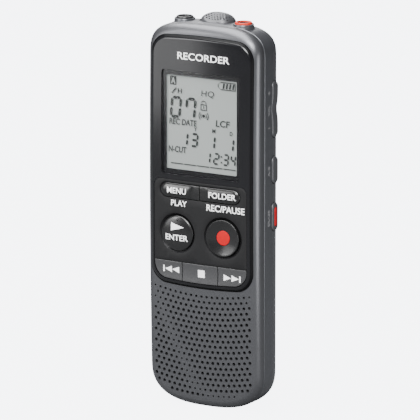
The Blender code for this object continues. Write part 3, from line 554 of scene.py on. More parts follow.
def slab(outlines, face, back, profile, spacing, plain_holes=False):
    """Closed plate as a bmesh.

    outlines: the border counterclockwise, then holes clockwise. face(a, b, drop) places a point
    of the front, sunk by drop; back(a, b) a point of the back. profile: (inset, drop) from the
    border inwards, which the holes follow too unless they are plain.
    """
    bm = bmesh.new()
    last_drop = profile[-1][1]
    hole_profile = [(0.0, last_drop)] if plain_holes else profile
    profiles = [profile] + [hole_profile] * (len(outlines) - 1)
    narrowed = [inset(outline, steps[-1][0]) if steps[-1][0] else outline
                for outline, steps in zip(outlines, profiles)]
    places, faces, loops = filled(narrowed, spacing)
    on_edge = {}
    for outline, loop in zip(outlines, loops):
        on_edge.update(zip(loop, outline))
    front = [bm.verts.new(face(a, b, last_drop)) for a, b in places]
    rear = [bm.verts.new(back(*on_edge.get(i, place))) for i, place in enumerate(places)]
    for triangle in faces:
        bm.faces.new([front[i] for i in triangle])
        bm.faces.new([rear[i] for i in reversed(triangle)])
    for outline, loop, steps in zip(outlines, loops, profiles):
        rings = [[rear[i] for i in loop]]
        for reach, drop in steps[:-1]:
            moved = inset(outline, reach) if reach else outline
            rings.append([bm.verts.new(face(a, b, drop)) for a, b in moved])
        rings.append([front[i] for i in loop])
        for low, high in zip(rings, rings[1:]):
            bridge(bm, low, high)
    return bm


def rounded_edge(radius, steps):
    """Profile of a rounded border, from the side wall to the face."""
    points = []
    for i in range(steps + 1):
        angle = math.pi / 2 * i / steps
        points.append((radius * (1 - math.cos(angle)), radius * (1 - math.sin(angle))))
    return points


def ease(value, low, high):
    share = min(1.0, max(0.0, (value - low) / (high - low)))
    return share * share * (3 - 2 * share)


# ---- The body's surfaces -----------------------------------------------------------------------
def face_y(x, z, depth=0.0):
    """Front surface, arched both ways, at a depth below the panel's crest."""
    return FRONT_Y + depth + x * x / (2 * ARCH_RADIUS) + (z - BOW_CREST_Z) ** 2 / (2 * BOW_RADIUS)


def on_front(x, z, drop=0.0):
    return (x, face_y(x, z, drop), z)


def body_outline(in_x, in_top, in_bottom):
    """Straight sides and superelliptic ends."""
    half = HALF_WIDTH - in_x
    quarter = OUTLINE_POINTS // 4
    points = []
    ends = ((BODY_TOP - TOP_CAP, TOP_CAP - in_top, TOP_EXPONENT, 0, 1),
            (BOTTOM_CAP, BOTTOM_CAP - in_bottom, BOTTOM_EXPONENT, math.pi, -1))
    for shoulder, reach, exponent, start, sign in ends:
        for i in range(2 * quarter + 1):
            angle = start + math.pi * i / (2 * quarter)
            c, s = math.cos(angle), math.sin(angle)
            points.append((math.copysign(abs(c) ** (2 / exponent), c) * half,
                           shoulder + sign * abs(s) ** (2 / exponent) * reach))
    return refined(points, 4 * MM)


def shell_rings(roll, front, wall, steps):
    """Rings of the rolled edge, from the parting plane to the flat of the front or the back."""
    side, depth, top, bottom = roll
    rim = RIM_Y if front else REAR_RIM_Y
    sign = -1 if front else 1
    first = RIM_ROUND if wall == 0.0 else wall
    rings = [[(x, rim, z) for x, z in body_outline(first, first, first)]]
    if wall == 0.0:
        rings.append([(x, rim + sign * RIM_ROUND, z) for x, z in body_outline(0, 0, 0)])
    for i in range(steps + 1):
        angle = math.pi / 2 * i / steps
        share = 1 - math.cos(angle)
        reach = (depth - wall) * math.sin(angle)
        ring = []
        for x, z in body_outline(*(wall + (size - wall) * share for size in (side, top, bottom))):
            if front:
                y = min(rim - 1.5 * RIM_ROUND, face_y(x, z, PANEL_RISE) + depth - reach)
            else:
                y = BACK_Y - depth + reach
            ring.append((x, y, z))
        rings.append(ring)
    return rings


def bowl(roll, front, steps):
    """Half of the body as a walled shell."""
    flat = body_outline(roll[0], roll[2], roll[3])
    places, faces, loops = filled([flat], 2.6 * MM)
    bm = bmesh.new()

    def level(x, z, depth):
        return face_y(x, z, PANEL_RISE + depth) if front else BACK_Y - depth

    layers = []
    for wall in (0.0, WALL):
        flat_verts = [bm.verts.new((x, level(x, z, wall), z)) for x, z in places]
        for triangle in faces:
            bm.faces.new([flat_verts[i] for i in triangle])
        rings = [[bm.verts.new(point) for point in ring]
                 for ring in shell_rings(roll, front, wall, steps)[:-1]]
        rings.append([flat_verts[i] for i in loops[0]])
        for low, high in zip(rings, rings[1:]):
            bridge(bm, low, high)
        layers.append(rings[0])
    bridge(bm, layers[0], layers[1])
    return bm


def box_solid(x, y, z):
    bm = bmesh.new()
    corners = [(x[0], z[0]), (x[1], z[0]), (x[1], z[1]), (x[0], z[1])]
    stack(bm, [[(px, level, pz) for px, pz in corners] for level in y])
    return bm


def side_solid(x, y, z, radius):
    """Rounded slot seen from the side: (low, high) pairs, pushed along X."""
    outline = rounded_rectangle(y, z, radius, 8)
    bm = bmesh.new()
    stack(bm, [[(level, py, pz) for py, pz in outline] for level in x])
    return bm


def panel_outline(grow=0.0):
    """Rounded corners and gently bowed ends."""
    half = PANEL_HALF + grow
    low, high = PANEL_BOX[0].z - grow, PANEL_BOX[1].z + grow
    middle = (low + high) / 2
    straight = refined(rounded_rectangle((-half, half), (low, high), PANEL_CORNER + grow, 14),
                       2.0 * MM)
    return [(x, z + math.copysign(PANEL_END_BOW * (x / half) ** 2, middle - z)
             * ease(abs(z - middle), 20 * MM, 30 * MM)) for x, z in straight]


# ---- Geometry Nodes: holes and grooves ---------------------------------------------------------
def new_tree(name, inputs):
    """Geometry tree with named inputs: (name, socket type)."""
    tree = bpy.data.node_groups.new(name, "GeometryNodeTree")
    tree.is_modifier = True
    tree.interface.new_socket("Geometry", in_out="INPUT", socket_type="NodeSocketGeometry")
    for label, kind in inputs:
        tree.interface.new_socket(label, in_out="INPUT", socket_type="NodeSocket" + kind)
    tree.interface.new_socket("Geometry", in_out="OUTPUT", socket_type="NodeSocketGeometry")
    return tree


def close_tree(g, geometry, material):
    realize = g.node("GeometryNodeRealizeInstances")
    g.feed(realize.inputs[0], geometry)
    paint = g.node("GeometryNodeSetMaterial")
    g.feed(paint.inputs["Geometry"], realize.outputs[0])
    g.feed(paint.inputs["Material"], material)
    g.feed(g.node("NodeGroupOutput").inputs[0], paint.outputs[0])


def apply_tree(target, tree, values):
    """Run a geometry tree on an object with its named inputs, and keep the plain mesh."""
    modifier = target.modifiers.new("shape", "NODES")
    modifier.node_group = tree
    for item in tree.interface.items_tree:
        if item.in_out == "INPUT" and item.name in values:
            modifier[item.identifier] = values[item.name]
    result = evaluated_mesh(target)
    target.modifiers.remove(modifier)
    if len(result.polygons) == 0:
        raise RuntimeError(f"{tree.name} left nothing of {target.name}")
    target.data = result


def perforation_tree():
    """Staggered rows of round holes, smaller towards the edge of a U-shaped field.

    The pattern lies in its own X and Y, and is turned and moved into place before it is cut.
    """
    tree = new_tree("perforation", (
        ("Rows", "Int"), ("Columns", "Int"), ("Pitch", "Float"), ("Spacing", "Float"),
        ("Lift", "Float"), ("Half Width", "Float"), ("Shoulder", "Float"), ("Reach", "Float"),
        ("Exponent", "Float"), ("Radius", "Float"), ("Depth", "Float"), ("Turn", "Rotation"),
        ("Place", "Vector"), ("Material", "Material")))
    g = Graph(tree)
    given = g.node("NodeGroupInput").outputs
    points = g.node("GeometryNodePoints")
    g.feed(points.inputs["Count"], g.math("MULTIPLY", given["Rows"], given["Columns"]))
    index = g.node("GeometryNodeInputIndex").outputs[0]
    row = g.math("FLOOR", g.math("DIVIDE", g.math("ADD", index, 0.5), given["Columns"]))
    column = g.math("SUBTRACT", index, g.math("MULTIPLY", row, given["Columns"]))
    stagger = g.math("MULTIPLY", g.math("MODULO", row, 2.0), 0.5)
    middle = g.math("DIVIDE", g.math("SUBTRACT", given["Columns"], 1.0), 2.0)
    x = g.math("MULTIPLY", g.math("ADD", g.math("SUBTRACT", column, middle), stagger),
               given["Pitch"])
    across = g.math("DIVIDE", g.math("ABSOLUTE", x), given["Half Width"])
    rise = g.math("MULTIPLY", g.math("MULTIPLY", across, across), given["Lift"])
    y = g.math("SUBTRACT", rise, g.math("MULTIPLY", row, given["Spacing"]))
    below = g.math("MAXIMUM", g.math("SUBTRACT", given["Shoulder"], y), 0.0)
    down = g.math("DIVIDE", below, given["Reach"])
    total = g.math("ADD", g.math("POWER", across, given["Exponent"]),
                   g.math("POWER", down, given["Exponent"]))
    edge = g.math("POWER", total, g.math("DIVIDE", 1.0, given["Exponent"]))
    first_rows = g.ramp(row, -0.5, 3.0, 0.8, 1.0)
    size = g.math("MULTIPLY", g.math("MULTIPLY", given["Radius"], first_rows),
                  g.ramp(edge, 0.84, 1.0, 1.0, 0.6))

    position = g.node("ShaderNodeCombineXYZ")
    g.feed(position.inputs[0], x)
    g.feed(position.inputs[1], y)
    move = g.node("GeometryNodeSetPosition")
    g.feed(move.inputs["Geometry"], points.outputs[0])
    g.feed(move.inputs["Position"], position.outputs[0])
    drop = g.node("GeometryNodeDeleteGeometry", domain="POINT")
    g.feed(drop.inputs["Geometry"], move.outputs[0])
    g.feed(drop.inputs["Selection"], g.math("GREATER_THAN", edge, 1.0))

    drill = g.node("GeometryNodeMeshCylinder")
    g.feed(drill.inputs["Vertices"], 12)
    g.feed(drill.inputs["Radius"], 1.0)
    g.feed(drill.inputs["Depth"], 1.0)
    scale = g.node("ShaderNodeCombineXYZ")
    g.feed(scale.inputs[0], size)
    g.feed(scale.inputs[1], size)
    g.feed(scale.inputs[2], given["Depth"])
    drills = g.node("GeometryNodeInstanceOnPoints")
    g.feed(drills.inputs["Points"], drop.outputs[0])
    g.feed(drills.inputs["Instance"], drill.outputs["Mesh"])
    g.feed(drills.inputs["Scale"], scale.outputs[0])
    whole = g.node("GeometryNodeRealizeInstances")
    g.feed(whole.inputs[0], drills.outputs[0])
    turn = g.node("GeometryNodeTransform")
    g.feed(turn.inputs["Geometry"], whole.outputs[0])
    g.feed(turn.inputs["Translation"], given["Place"])
    g.feed(turn.inputs["Rotation"], given["Turn"])
    cut = g.node("GeometryNodeMeshBoolean", operation="DIFFERENCE", solver="MANIFOLD")
    g.feed(cut.inputs["Mesh 1"], given["Geometry"])
    g.feed(cut.inputs["Mesh 2"], turn.outputs[0])
    close_tree(g, cut.outputs["Mesh"], given["Material"])
    return tree


def groove_tree():
    """Row of round-bottomed grooves cut into a surface, one under the other."""
    tree = new_tree("grooves", (("Count", "Int"), ("Step", "Float"), ("Radius", "Float"),
                                ("Length", "Float"), ("Place", "Vector"), ("Turn", "Rotation"),
                                ("Material", "Material")))
    g = Graph(tree)
    given = g.node("NodeGroupInput").outputs
    line = g.node("GeometryNodeMeshLine", mode="OFFSET")
    offset = g.node("ShaderNodeCombineXYZ")
    g.feed(offset.inputs[2], given["Step"])
    g.feed(line.inputs["Count"], given["Count"])
    g.feed(line.inputs["Start Location"], given["Place"])
    g.feed(line.inputs["Offset"], offset.outputs[0])
    rod = g.node("GeometryNodeMeshCylinder")
    g.feed(rod.inputs["Vertices"], 24)
    g.feed(rod.inputs["Radius"], given["Radius"])
    g.feed(rod.inputs["Depth"], given["Length"])
    rods = g.node("GeometryNodeInstanceOnPoints")
    g.feed(rods.inputs["Points"], line.outputs[0])
    g.feed(rods.inputs["Instance"], rod.outputs["Mesh"])
    g.feed(rods.inputs["Rotation"], given["Turn"])
    whole = g.node("GeometryNodeRealizeInstances")
    g.feed(whole.inputs[0], rods.outputs[0])
    cut = g.node("GeometryNodeMeshBoolean", operation="DIFFERENCE", solver="MANIFOLD")
    g.feed(cut.inputs["Mesh 1"], given["Geometry"])
    g.feed(cut.inputs["Mesh 2"], whole.outputs[0])
    close_tree(g, cut.outputs["Mesh"], given["Material"])
    return tree


# ---- Casings -----------------------------------------------------------------------------------
def make_front_shell():
    grille = bpy.context.scene.recorder_grille
    shell = scratch(bowl(FRONT_ROLL, True, 12), "front_shell_blank")
    opening = bmesh.new()
    stack(opening, [[(x, y, z) for x, z in panel_outline(REVEAL)]
                    for y in (-14 * MM, -6 * MM)])
    combine(shell, scratch(opening))
    apply_tree(shell, perforation_tree(), {
        "Rows": grille.rows, "Columns": grille.columns, "Pitch": grille.pitch,
        "Spacing": grille.spacing, "Lift": grille.lift, "Half Width": 16.6 * MM,
        "Shoulder": BOTTOM_CAP - grille.top, "Reach": 8.7 * MM, "Exponent": BOTTOM_EXPONENT,
        "Radius": grille.radius, "Depth": 4 * MM, "Turn": (math.pi / 2, 0, 0),
        "Place": (0, FRONT_Y + PANEL_RISE + 1.2 * MM, grille.top), "Material": case_paint()})
    mesh = shell.data
    bpy.data.objects.remove(shell)
    add_mesh("front_shell", mesh, case_paint(), "root", ["front_case"], 35)


def flared_collar(x):
    """Raised collar of a socket, flaring out to the end face."""
    top = RING_BOX[1].z - 0.55 * MM
    low = BODY_TOP - 3.4 * MM
    lip = RING_RADIUS + 0.55 * MM
    profile = [(lip - 0.35 * MM, top), (lip - 0.1 * MM, top - 0.05 * MM), (lip, top - 0.25 * MM)]
    profile += [(lip + 2.3 * MM * (i / 10) ** 2.0, top - 0.25 * MM - (top - low) * (i / 10) ** 1.1)
                for i in range(1, 11)]
    profile.append((lip - 0.35 * MM, low))
    profile.append(profile[0])
    return turned((x, JACK_Y), "Z", list(reversed(profile)), 72)


def cut_upper_end(shell):
    """Collars and bores of the sockets, and the opening of the microphone cover."""
    bore = RING_RADIUS + REVEAL
    reach = 7 * MM
    for x in (-JACK_X, JACK_X):
        collar = scratch(flared_collar(x))
        combine(collar, scratch(box_solid((x - reach, x + reach), (REAR_RIM_Y, OUTSIDE_Y),
                                          (105 * MM, 125 * MM))), "INTERSECT")
        combine(shell, collar, "UNION")
        combine(shell, scratch(turned((x, JACK_Y), "Z", [(bore, level) for level in END_REACH])))
    mic = bmesh.new()
    footprint = mic_footprint(REVEAL)
    stack(mic, [[(x, y, level) for x, y in footprint] for level in END_REACH])
    combine(shell, scratch(mic))


def cut_sides(shell):
    """Slots of the side keys, the hold slider and the USB socket."""
    play, travel = 0.2 * MM, 2.2 * MM
    left = (-SIDE_REACH[1], -SIDE_REACH[0])
    side_y = (SIDE_KEY_Y - SIDE_KEY_HALF - play, SIDE_KEY_Y + SIDE_KEY_HALF + play)
    radius = SIDE_KEY_HALF + play - 0.01 * MM
    for low, high in (ROCKER_BOX, REPEAT_BOX, ERASE_BOX):
        combine(shell, scratch(side_solid(SIDE_REACH, side_y, (low.z - play, high.z + play),
                                          radius)))
    combine(shell, scratch(side_solid(left, side_y, (HOLD_BOX[0].z - travel,
                                                     HOLD_BOX[1].z + travel), 0.6 * MM)))
    combine(shell, scratch(side_solid(left, (-1.9 * MM, 2.5 * MM), (USB_BOX[0].z - 0.3 * MM,
                                                                    USB_BOX[1].z + 0.3 * MM),
                                      0.9 * MM)))


def cut_screw_wells(shell):
    """Boss and countersunk well of each case screw."""
    head, shaft = 2.2 * MM, 1.2 * MM
    seat, lip = BACK_Y - 1.7 * MM, 0.15 * MM
    for number in (1, 2):
        spot = box_centre(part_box(f"case_screw_{number}"))
        boss = turned(spot, "Y", [(3.2 * MM, BACK_Y - 3.2 * MM), (3.2 * MM, BACK_Y - 1.0 * MM)])
        combine(shell, scratch(boss), "UNION")
        well = [(shaft, 6 * MM), (shaft, seat), (head, seat), (head, BACK_Y - lip),
                (head + 2 * lip, BACK_Y + lip), (head + 2 * lip, OUTSIDE_Y)]
        combine(shell, scratch(turned(spot, "Y", well, 48)))


def make_rear_shell():
    shell = scratch(bowl(REAR_ROLL, False, 20), "rear_shell_blank")
    cut_upper_end(shell)
    cut_sides(shell)
    cut_screw_wells(shell)
    gap = 0.15 * MM
    edge = DOOR_BOX[1].x + gap
    combine(shell, scratch(box_solid((-edge, edge), (5.5 * MM, OUTSIDE_Y),
                                     (-2 * MM, DOOR_BOX[1].z + gap))))
    mesh = shell.data
    bpy.data.objects.remove(shell)
    add_mesh("rear_shell", mesh, rear_paint(), "root", ["rear_case"], 35)


def make_seam_lip():
    """Lip inside the seam, which keeps light from passing between the shells."""
    outer, inner = (body_outline(depth, depth, depth) for depth in (0.5 * MM, 1.1 * MM))
    low, high = RIM_Y - REVEAL, REAR_RIM_Y + REVEAL
    rings = [[(x, y, z) for x, z in outline] for outline, y in
             ((outer, low), (outer, high), (inner, high), (inner, low), (outer, low))]
    bm = bmesh.new()
    stack(bm, rings, False, False)
    add_piece("seam_lip", bm, mask_black(), "root", [], 40)


def make_grille_cloth():
    """Black cloth behind the speaker holes."""
    top, half = 36.4 * MM, 16.4 * MM
    shoulder, reach = BOTTOM_CAP, 9.6 * MM
    points = []
    for i in range(33):
        angle = math.pi + math.pi * i / 32
        c, s = math.cos(angle), math.sin(angle)
        points.append((math.copysign(abs(c) ** (2 / BOTTOM_EXPONENT), c) * half,
                       shoulder - abs(s) ** (2 / BOTTOM_EXPONENT) * reach))
    outline = refined(points + [(half, top), (-half, top)], 2.5 * MM)
    depth = PANEL_RISE + WALL + 0.05 * MM
    bm = slab([outline], lambda x, z, drop: on_front(x, z, depth + drop),
              lambda x, z: on_front(x, z, depth + 0.18 * MM), [(0.0, 0.0)], 3 * MM)
    add_piece("grille_cloth", bm, inner_finishes()["cloth"], "root", [])


def make_door():
    door = scratch(bowl(REAR_ROLL, False, 20), "door_blank")
    half = DOOR_BOX[1].x
    combine(door, scratch(box_solid((-half, half), (7.2 * MM, OUTSIDE_Y),
                                    (-2 * MM, DOOR_BOX[1].z))), "INTERSECT")
    apply_tree(door, groove_tree(), {
        "Count": 5, "Step": -1.5 * MM, "Radius": 0.5 * MM, "Length": 10 * MM,
        "Place": (0, BACK_Y + 0.15 * MM, 50.9 * MM), "Turn": (0, math.pi / 2, 0),
        "Material": rear_paint()})
    mesh = door.data
    bpy.data.objects.remove(door)
    add_mesh("door_shell", mesh, rear_paint(), "door", ["battery_door"], 35)


# ---- Panel, window and key plate ---------------------------------------------------------------
def plate_outline(grow=0.0):
    """The key field: plate and lower key row together, with tighter upper corners."""
    half = PLATE_HALF + grow
    low, high = PLATE_BOX[0].z - 0.05 * MM - grow, PLATE_BOX[1].z + grow
    wide, tight = FIELD_LOWER_CORNER + grow, FIELD_UPPER_CORNER + grow
    reach = wide + 0.1 * MM
    points = []
    for x, z in refined(rounded_rectangle((-half, half), (low, high), wide, 12), 1.5 * MM):
        if z > high - reach and abs(x) > half - reach:
            angle = math.atan2(z - (high - wide), abs(x) - (half - wide))
            x = math.copysign(half - tight + tight * math.cos(angle), x)
            z = high - tight + tight * math.sin(angle)
        bow = PANEL_END_BOW * (x / half) ** 2 if z < ROW_TOP else 0.0
        points.append((x, z + bow))
    return points


def make_panel():
    low_edge, high_edge, shoulder = PANEL_RISE - 0.03 * MM, 0.26 * MM, 0.62 * MM
    band = [(0.0, PANEL_RISE + 0.1 * MM)]
    for i in range(5):
        share = i / 5
        band.append((0.06 * MM + (shoulder - 0.06 * MM) * share,
                     low_edge - (low_edge - high_edge) * share))
    for i in range(9):
        share = i / 8
        band.append((shoulder + (PANEL_BAND - 0.03 * MM - shoulder) * share,
                     high_edge * (1 - share) ** 1.7))
    holes = [list(reversed(hole)) for hole in (lens_outline(0.02 * MM), plate_outline(REVEAL))]
    bm = slab([panel_outline(), *holes], on_front, lambda x, z: on_front(x, z, PANEL_DEPTH),
              band, 2.0 * MM, True)
    panel = add_piece("glossy_panel", bm, panel_acrylic(), "root", ["front_panel"],
                      40)
    panel.data.materials.append(panel_rim())
    for polygon in panel.data.polygons:
        x, y, z = polygon.center
        if high_edge < y - face_y(x, z) and abs(polygon.normal.y) < 0.95:
            polygon.material_index = 1


def lens_outline(grow=0.0):
    return refined(rounded_rectangle((LENS_BOX[0].x - grow, LENS_BOX[1].x + grow),
                                     (LENS_BOX[0].z - grow, LENS_BOX[1].z + grow),
                                     1.0 * MM + grow, 6), 2.0 * MM)


def make_lens():
    bm = slab([lens_outline()], on_front, lambda x, z: on_front(x, z, 0.8 * MM),
              [(0.0, 0.0)], 2.0 * MM)
    lens = add_piece("window_lens", bm, window_clear(), "root", ["display_window"])
    lens.data.materials.append(mask_black())
    for polygon in lens.data.polygons:
        if abs(polygon.normal.y) < 0.5:
            polygon.material_index = 1


def pill_outline(grow=0.0):
    radius = (PILL_BOX[1].z - PILL_BOX[0].z) / 2 + grow
    return rounded_rectangle((PILL_BOX[0].x - grow, PILL_BOX[1].x + grow),
                             (PILL_BOX[0].z - grow, PILL_BOX[1].z + grow),
                             radius - 0.001 * MM, 14)


def circle(centre, radius, steps=64):
    return [(centre[0] + radius * math.cos(math.tau * i / steps),
             centre[1] + radius * math.sin(math.tau * i / steps)) for i in range(steps)]


def box_centre(box):
    return ((box[0].x + box[1].x) / 2, (box[0].z + box[1].z) / 2)


def make_key_plate():
    """Matte plate above the row of keys, with a bright-edged recess round each round key."""
    low = ROW_TOP + REVEAL
    border = [(x, z) for x, z in plate_outline() if z > low + 0.05 * MM]
    start = min(range(len(border)), key=lambda i: (border[i][0] < 0, border[i][1]))
    count = 21
    bottom = [(PLATE_HALF * (2 * i / count - 1), low) for i in range(count + 1)]
    outline = bottom + border[start:] + border[:start]
    holes = [list(reversed(refined(pill_outline(0.2 * MM), 1.2 * MM)))]
    wells = ((ENTER_BOX, 0.72 * MM), (REC_BOX, 0.72 * MM))
    for key, extra in wells:
        radius = (key[1].x - key[0].x) / 2 + extra
        holes.append(list(reversed(circle(box_centre(key), radius, 72))))
    bm = slab([outline, *holes], on_front, lambda x, z: on_front(x, z, PANEL_DEPTH),
              [(0.0, 0.06 * MM), (0.03 * MM, 0.02 * MM), (0.08 * MM, 0.0)], 1.6 * MM)
    add_piece("key_plate_face", bm, plate_matte(), "root", ["key_plate"], 40)
    for name, (key, extra) in zip(("enter", "rec"), wells):
        centre = box_centre(key)
        radius = (key[1].x - key[0].x) / 2
        surface = face_y(*centre)
        outer = radius + extra - 0.02 * MM
        inner = radius + 0.16 * MM
        profile = [(outer, surface + 1.1 * MM), (outer, surface + 0.06 * MM)]
        profile += [(outer - (outer - inner) * i / 8,
                     surface + 0.06 * MM + 0.62 * MM * (i / 8) ** 0.8) for i in range(1, 9)]
        profile += [(inner, surface + 1.1 * MM), (outer, surface + 1.1 * MM)]
        add_piece(f"{name}_recess", turned(centre, "Y", list(reversed(profile)), 72),
                  recess_gloss(), "root", [], 50)


def recess_gloss():
    return finish("recess_gloss", (0.02, 0.02, 0.021), metallic=0.3, roughness=0.25, spread=0.05,
                  grain=0.2 * MM, relief=0.001 * MM, smudge=0.04)


# ---- Keys --------------------------------------------------------------------------------------
def pill_surface(x, z, drop=0.0):
    """Pillow across the height, lower in the middle where the two keys meet."""
    middle = (PILL_BOX[0].z + PILL_BOX[1].z) / 2
    half = (PILL_BOX[1].z - PILL_BOX[0].z) / 2
    across = min(1.0, abs(z - middle) / half)
    outer = PILL_BOX[1].x - half
    end = min(1.0, max(0.0, abs(x) - outer) / half)
    away = min(1.0, math.hypot(across, end))
    crown = 0.62 * MM * (1 - away ** 2.4)
    grip = ease(abs(x), 2.55 * MM, 3.05 * MM)
    flat = 0.12 * MM * (1 - across ** 4)
    groove = 0.0
    for line in (0.85 * MM, 1.7 * MM):
        groove += 0.05 * MM * math.exp(-((abs(x) - line) / (0.12 * MM)) ** 2)
    return (x, face_y(x, z, drop - crown * grip - (1 - grip) * (flat - groove)), z)


def row_surface(x, z, drop=0.0):
    """Slightly scooped face of the lower keys."""
    middle = (ROW_BOX[0].z + ROW_TOP) / 2
    half = (ROW_TOP - ROW_BOX[0].z) / 2
    share = (z - middle) / half
    scoop = 0.22 * MM * (1 - share * share)
    return (x, face_y(x, z, drop + scoop - 0.16 * MM), z)


def key_back(x, z):
    return (x, KEY_BACK_Y, z)


def make_pill_keys():
    split = 0.1 * MM
    full = refined(pill_outline(), 0.5 * MM)
    for name, node, side in (("menu_key_cap", "menu_key", -1), ("folder_key_cap", "folder_key", 1)):
        half = [(x, z) for x, z in full if x * side > split + 0.05 * MM]
        low, high = PILL_BOX[0].z, PILL_BOX[1].z
        count = 8
        edge = [(side * split, low + (high - low) * i / count) for i in range(count + 1)]
        if side > 0:
            edge.reverse()
        start = max(range(len(half)), key=lambda i: math.dist(half[i], half[i - 1]))
        outline = half[start:] + half[:start] + edge
        bm = slab([outline], pill_surface, key_back, rounded_edge(0.14 * MM, 4), 0.42 * MM)
        add_piece(name, bm, key_gloss(), node.split("_")[0], [node], 45)


def row_outline(left, right):
    """One transport key, its lower edge following the key field's border."""
    edge_half = PLATE_HALF - REVEAL
    upright = edge_half - 0.001 * MM
    clearance = 0.3 * MM
    field = [p for p in inset(plate_outline(), REVEAL) if p[1] < ROW_TOP - 0.05 * MM]
    floor = sorted(p for p in field if abs(p[0]) < upright)
    floor_x, floor_z = zip(*floor)

    def order(point):
        """Down the left side, along the lower edge and up the right side."""
        x, z = point
        return (0, x) if abs(x) < upright else (math.copysign(1, x), math.copysign(z, x))

    cuts = [side for side in (left, right) if abs(side) < edge_half]
    points = [p for p in field
              if left < p[0] < right and all(abs(p[0] - side) >= clearance for side in cuts)]
    points += [(side, float(np.interp(side, floor_x, floor_z))) for side in cuts]
    corners = [(min(right, edge_half), ROW_TOP), (max(left, -edge_half), ROW_TOP)]
    return refined(sorted(points, key=order) + corners, 0.6 * MM)


def make_row_keys():
    split = 0.11 * MM
    spans = (("rewind", -PLATE_HALF, -ROW_DIVIDER - split),
             ("stop", -ROW_DIVIDER + split, ROW_DIVIDER - split),
             ("forward", ROW_DIVIDER + split, PLATE_HALF))
    for body, left, right in spans:
        bm = slab([row_outline(left, right)], row_surface, key_back,
                  rounded_edge(REVEAL, 4), 0.55 * MM)
        add_piece(f"{body}_key_cap", bm, row_satin(), body, [f"{body}_key"], 45)


def enter_surface(x, z, drop=0.0):
    centre = box_centre(ENTER_BOX)
    radius = (ENTER_BOX[1].x - ENTER_BOX[0].x) / 2
    share = min(1.0, math.hypot(x - centre[0], z - centre[1]) / radius)
    return (x, face_y(*centre) + drop + 0.25 * MM - 0.95 * MM * math.sqrt(1 - share ** 2.2), z)


def rec_surface(x, z, drop=0.0):
    centre = box_centre(REC_BOX)
    radius = (REC_BOX[1].x - REC_BOX[0].x) / 2 - 0.35 * MM
    share = min(1.0, math.hypot(x - centre[0], z - centre[1]) / radius)
    return (x, face_y(*centre) + drop - 0.34 * MM + 0.75 * MM * (1 - share ** 2), z)


def make_round_keys():
    centre = box_centre(ENTER_BOX)
    radius = (ENTER_BOX[1].x - ENTER_BOX[0].x) / 2
    surface = face_y(*centre)
    profile = [(0, KEY_BACK_Y), (radius, KEY_BACK_Y)]
    for i in range(25):
        share = math.cos(math.pi / 2 * i / 24)
        point = enter_surface(centre[0] + radius * share, centre[1])
        profile.append((radius * share if i < 24 else 0, point[1]))
    add_piece("enter_key_cap", turned(centre, "Y", profile, 96), key_gloss(), "enter",
              ["enter_key"], 50)
    bump = [(0, surface), (0.42 * MM, surface)]
    height = enter_surface(centre[0], centre[1] + 4.15 * MM)[1]
    bump += [(0.42 * MM * math.cos(math.pi / 2 * i / 6) if i < 6 else 0,
              height - 0.22 * MM * math.sin(math.pi / 2 * i / 6)) for i in range(7)]
    add_piece("tactile_dot", turned((centre[0] + 0.35 * MM, centre[1] + 4.15 * MM), "Y", bump, 24),
              key_gloss(), "enter", [], 50)

    centre = box_centre(REC_BOX)
    radius = (REC_BOX[1].x - REC_BOX[0].x) / 2
    surface = face_y(*centre)
    dot = 2.28 * MM
    lip = radius - 0.35 * MM
    profile = [(0, KEY_BACK_Y), (radius, KEY_BACK_Y), (radius, surface)]
    for i in range(1, 7):
        angle = math.pi * 0.62 * i / 6
        profile.append((radius - 0.19 * MM + 0.19 * MM * math.cos(angle),
                        surface - 0.16 * MM - 0.19 * MM * math.sin(angle)))
    steps = 16
    for i in range(steps + 1):
        at = lip - 0.05 * MM - (lip - 0.05 * MM - dot) * i / steps
        profile.append((at, rec_surface(centre[0] + at, centre[1])[1]))
    floor_y = profile[-1][1]
    profile += [(dot - 0.03 * MM, floor_y + 0.5 * MM), (0, floor_y + 0.5 * MM)]
    add_piece("rec_key_cap", turned(centre, "Y", profile, 96), key_gloss(), "rec",
              ["rec_key"], 50)
    spot = [(0, floor_y + 0.4 * MM), (dot - 0.08 * MM, floor_y + 0.4 * MM)]
    spot += [(dot - 0.08 * MM - 0.12 * MM * (1 - math.cos(math.pi / 2 * i / 5)),
              floor_y + 0.06 * MM - 0.12 * MM * math.sin(math.pi / 2 * i / 5)) for i in range(6)]
    spot += [(dot * share, floor_y - 0.06 * MM - 0.05 * MM * (0.9 - share))
             for share in (0.7, 0.4)]
    spot.append((0, floor_y - 0.11 * MM))
    add_piece("rec_key_insert", turned(centre, "Y", spot, 72), record_red(), "rec",
              ["rec_key_dot"], 50)


# ---- Printed legends ---------------------------------------------------------------------------
LEGEND_HEIGHT = 0.045 * MM
SIDE_MARK_Y = SIDE_KEY_Y - SIDE_KEY_HALF - 1.6 * MM


def raise_print(flat, surface, lift=LEGEND_HEIGHT):
    """Mesh drawn flat in X and Y (thickness in Z), laid on a surface of the front."""
    for vertex in flat.vertices:
        x, z, up = vertex.co
        point = surface(x, z)
        vertex.co = (point[0], point[1] - (lift if up > 0 else -lift * 0.5), point[2])
    return flat


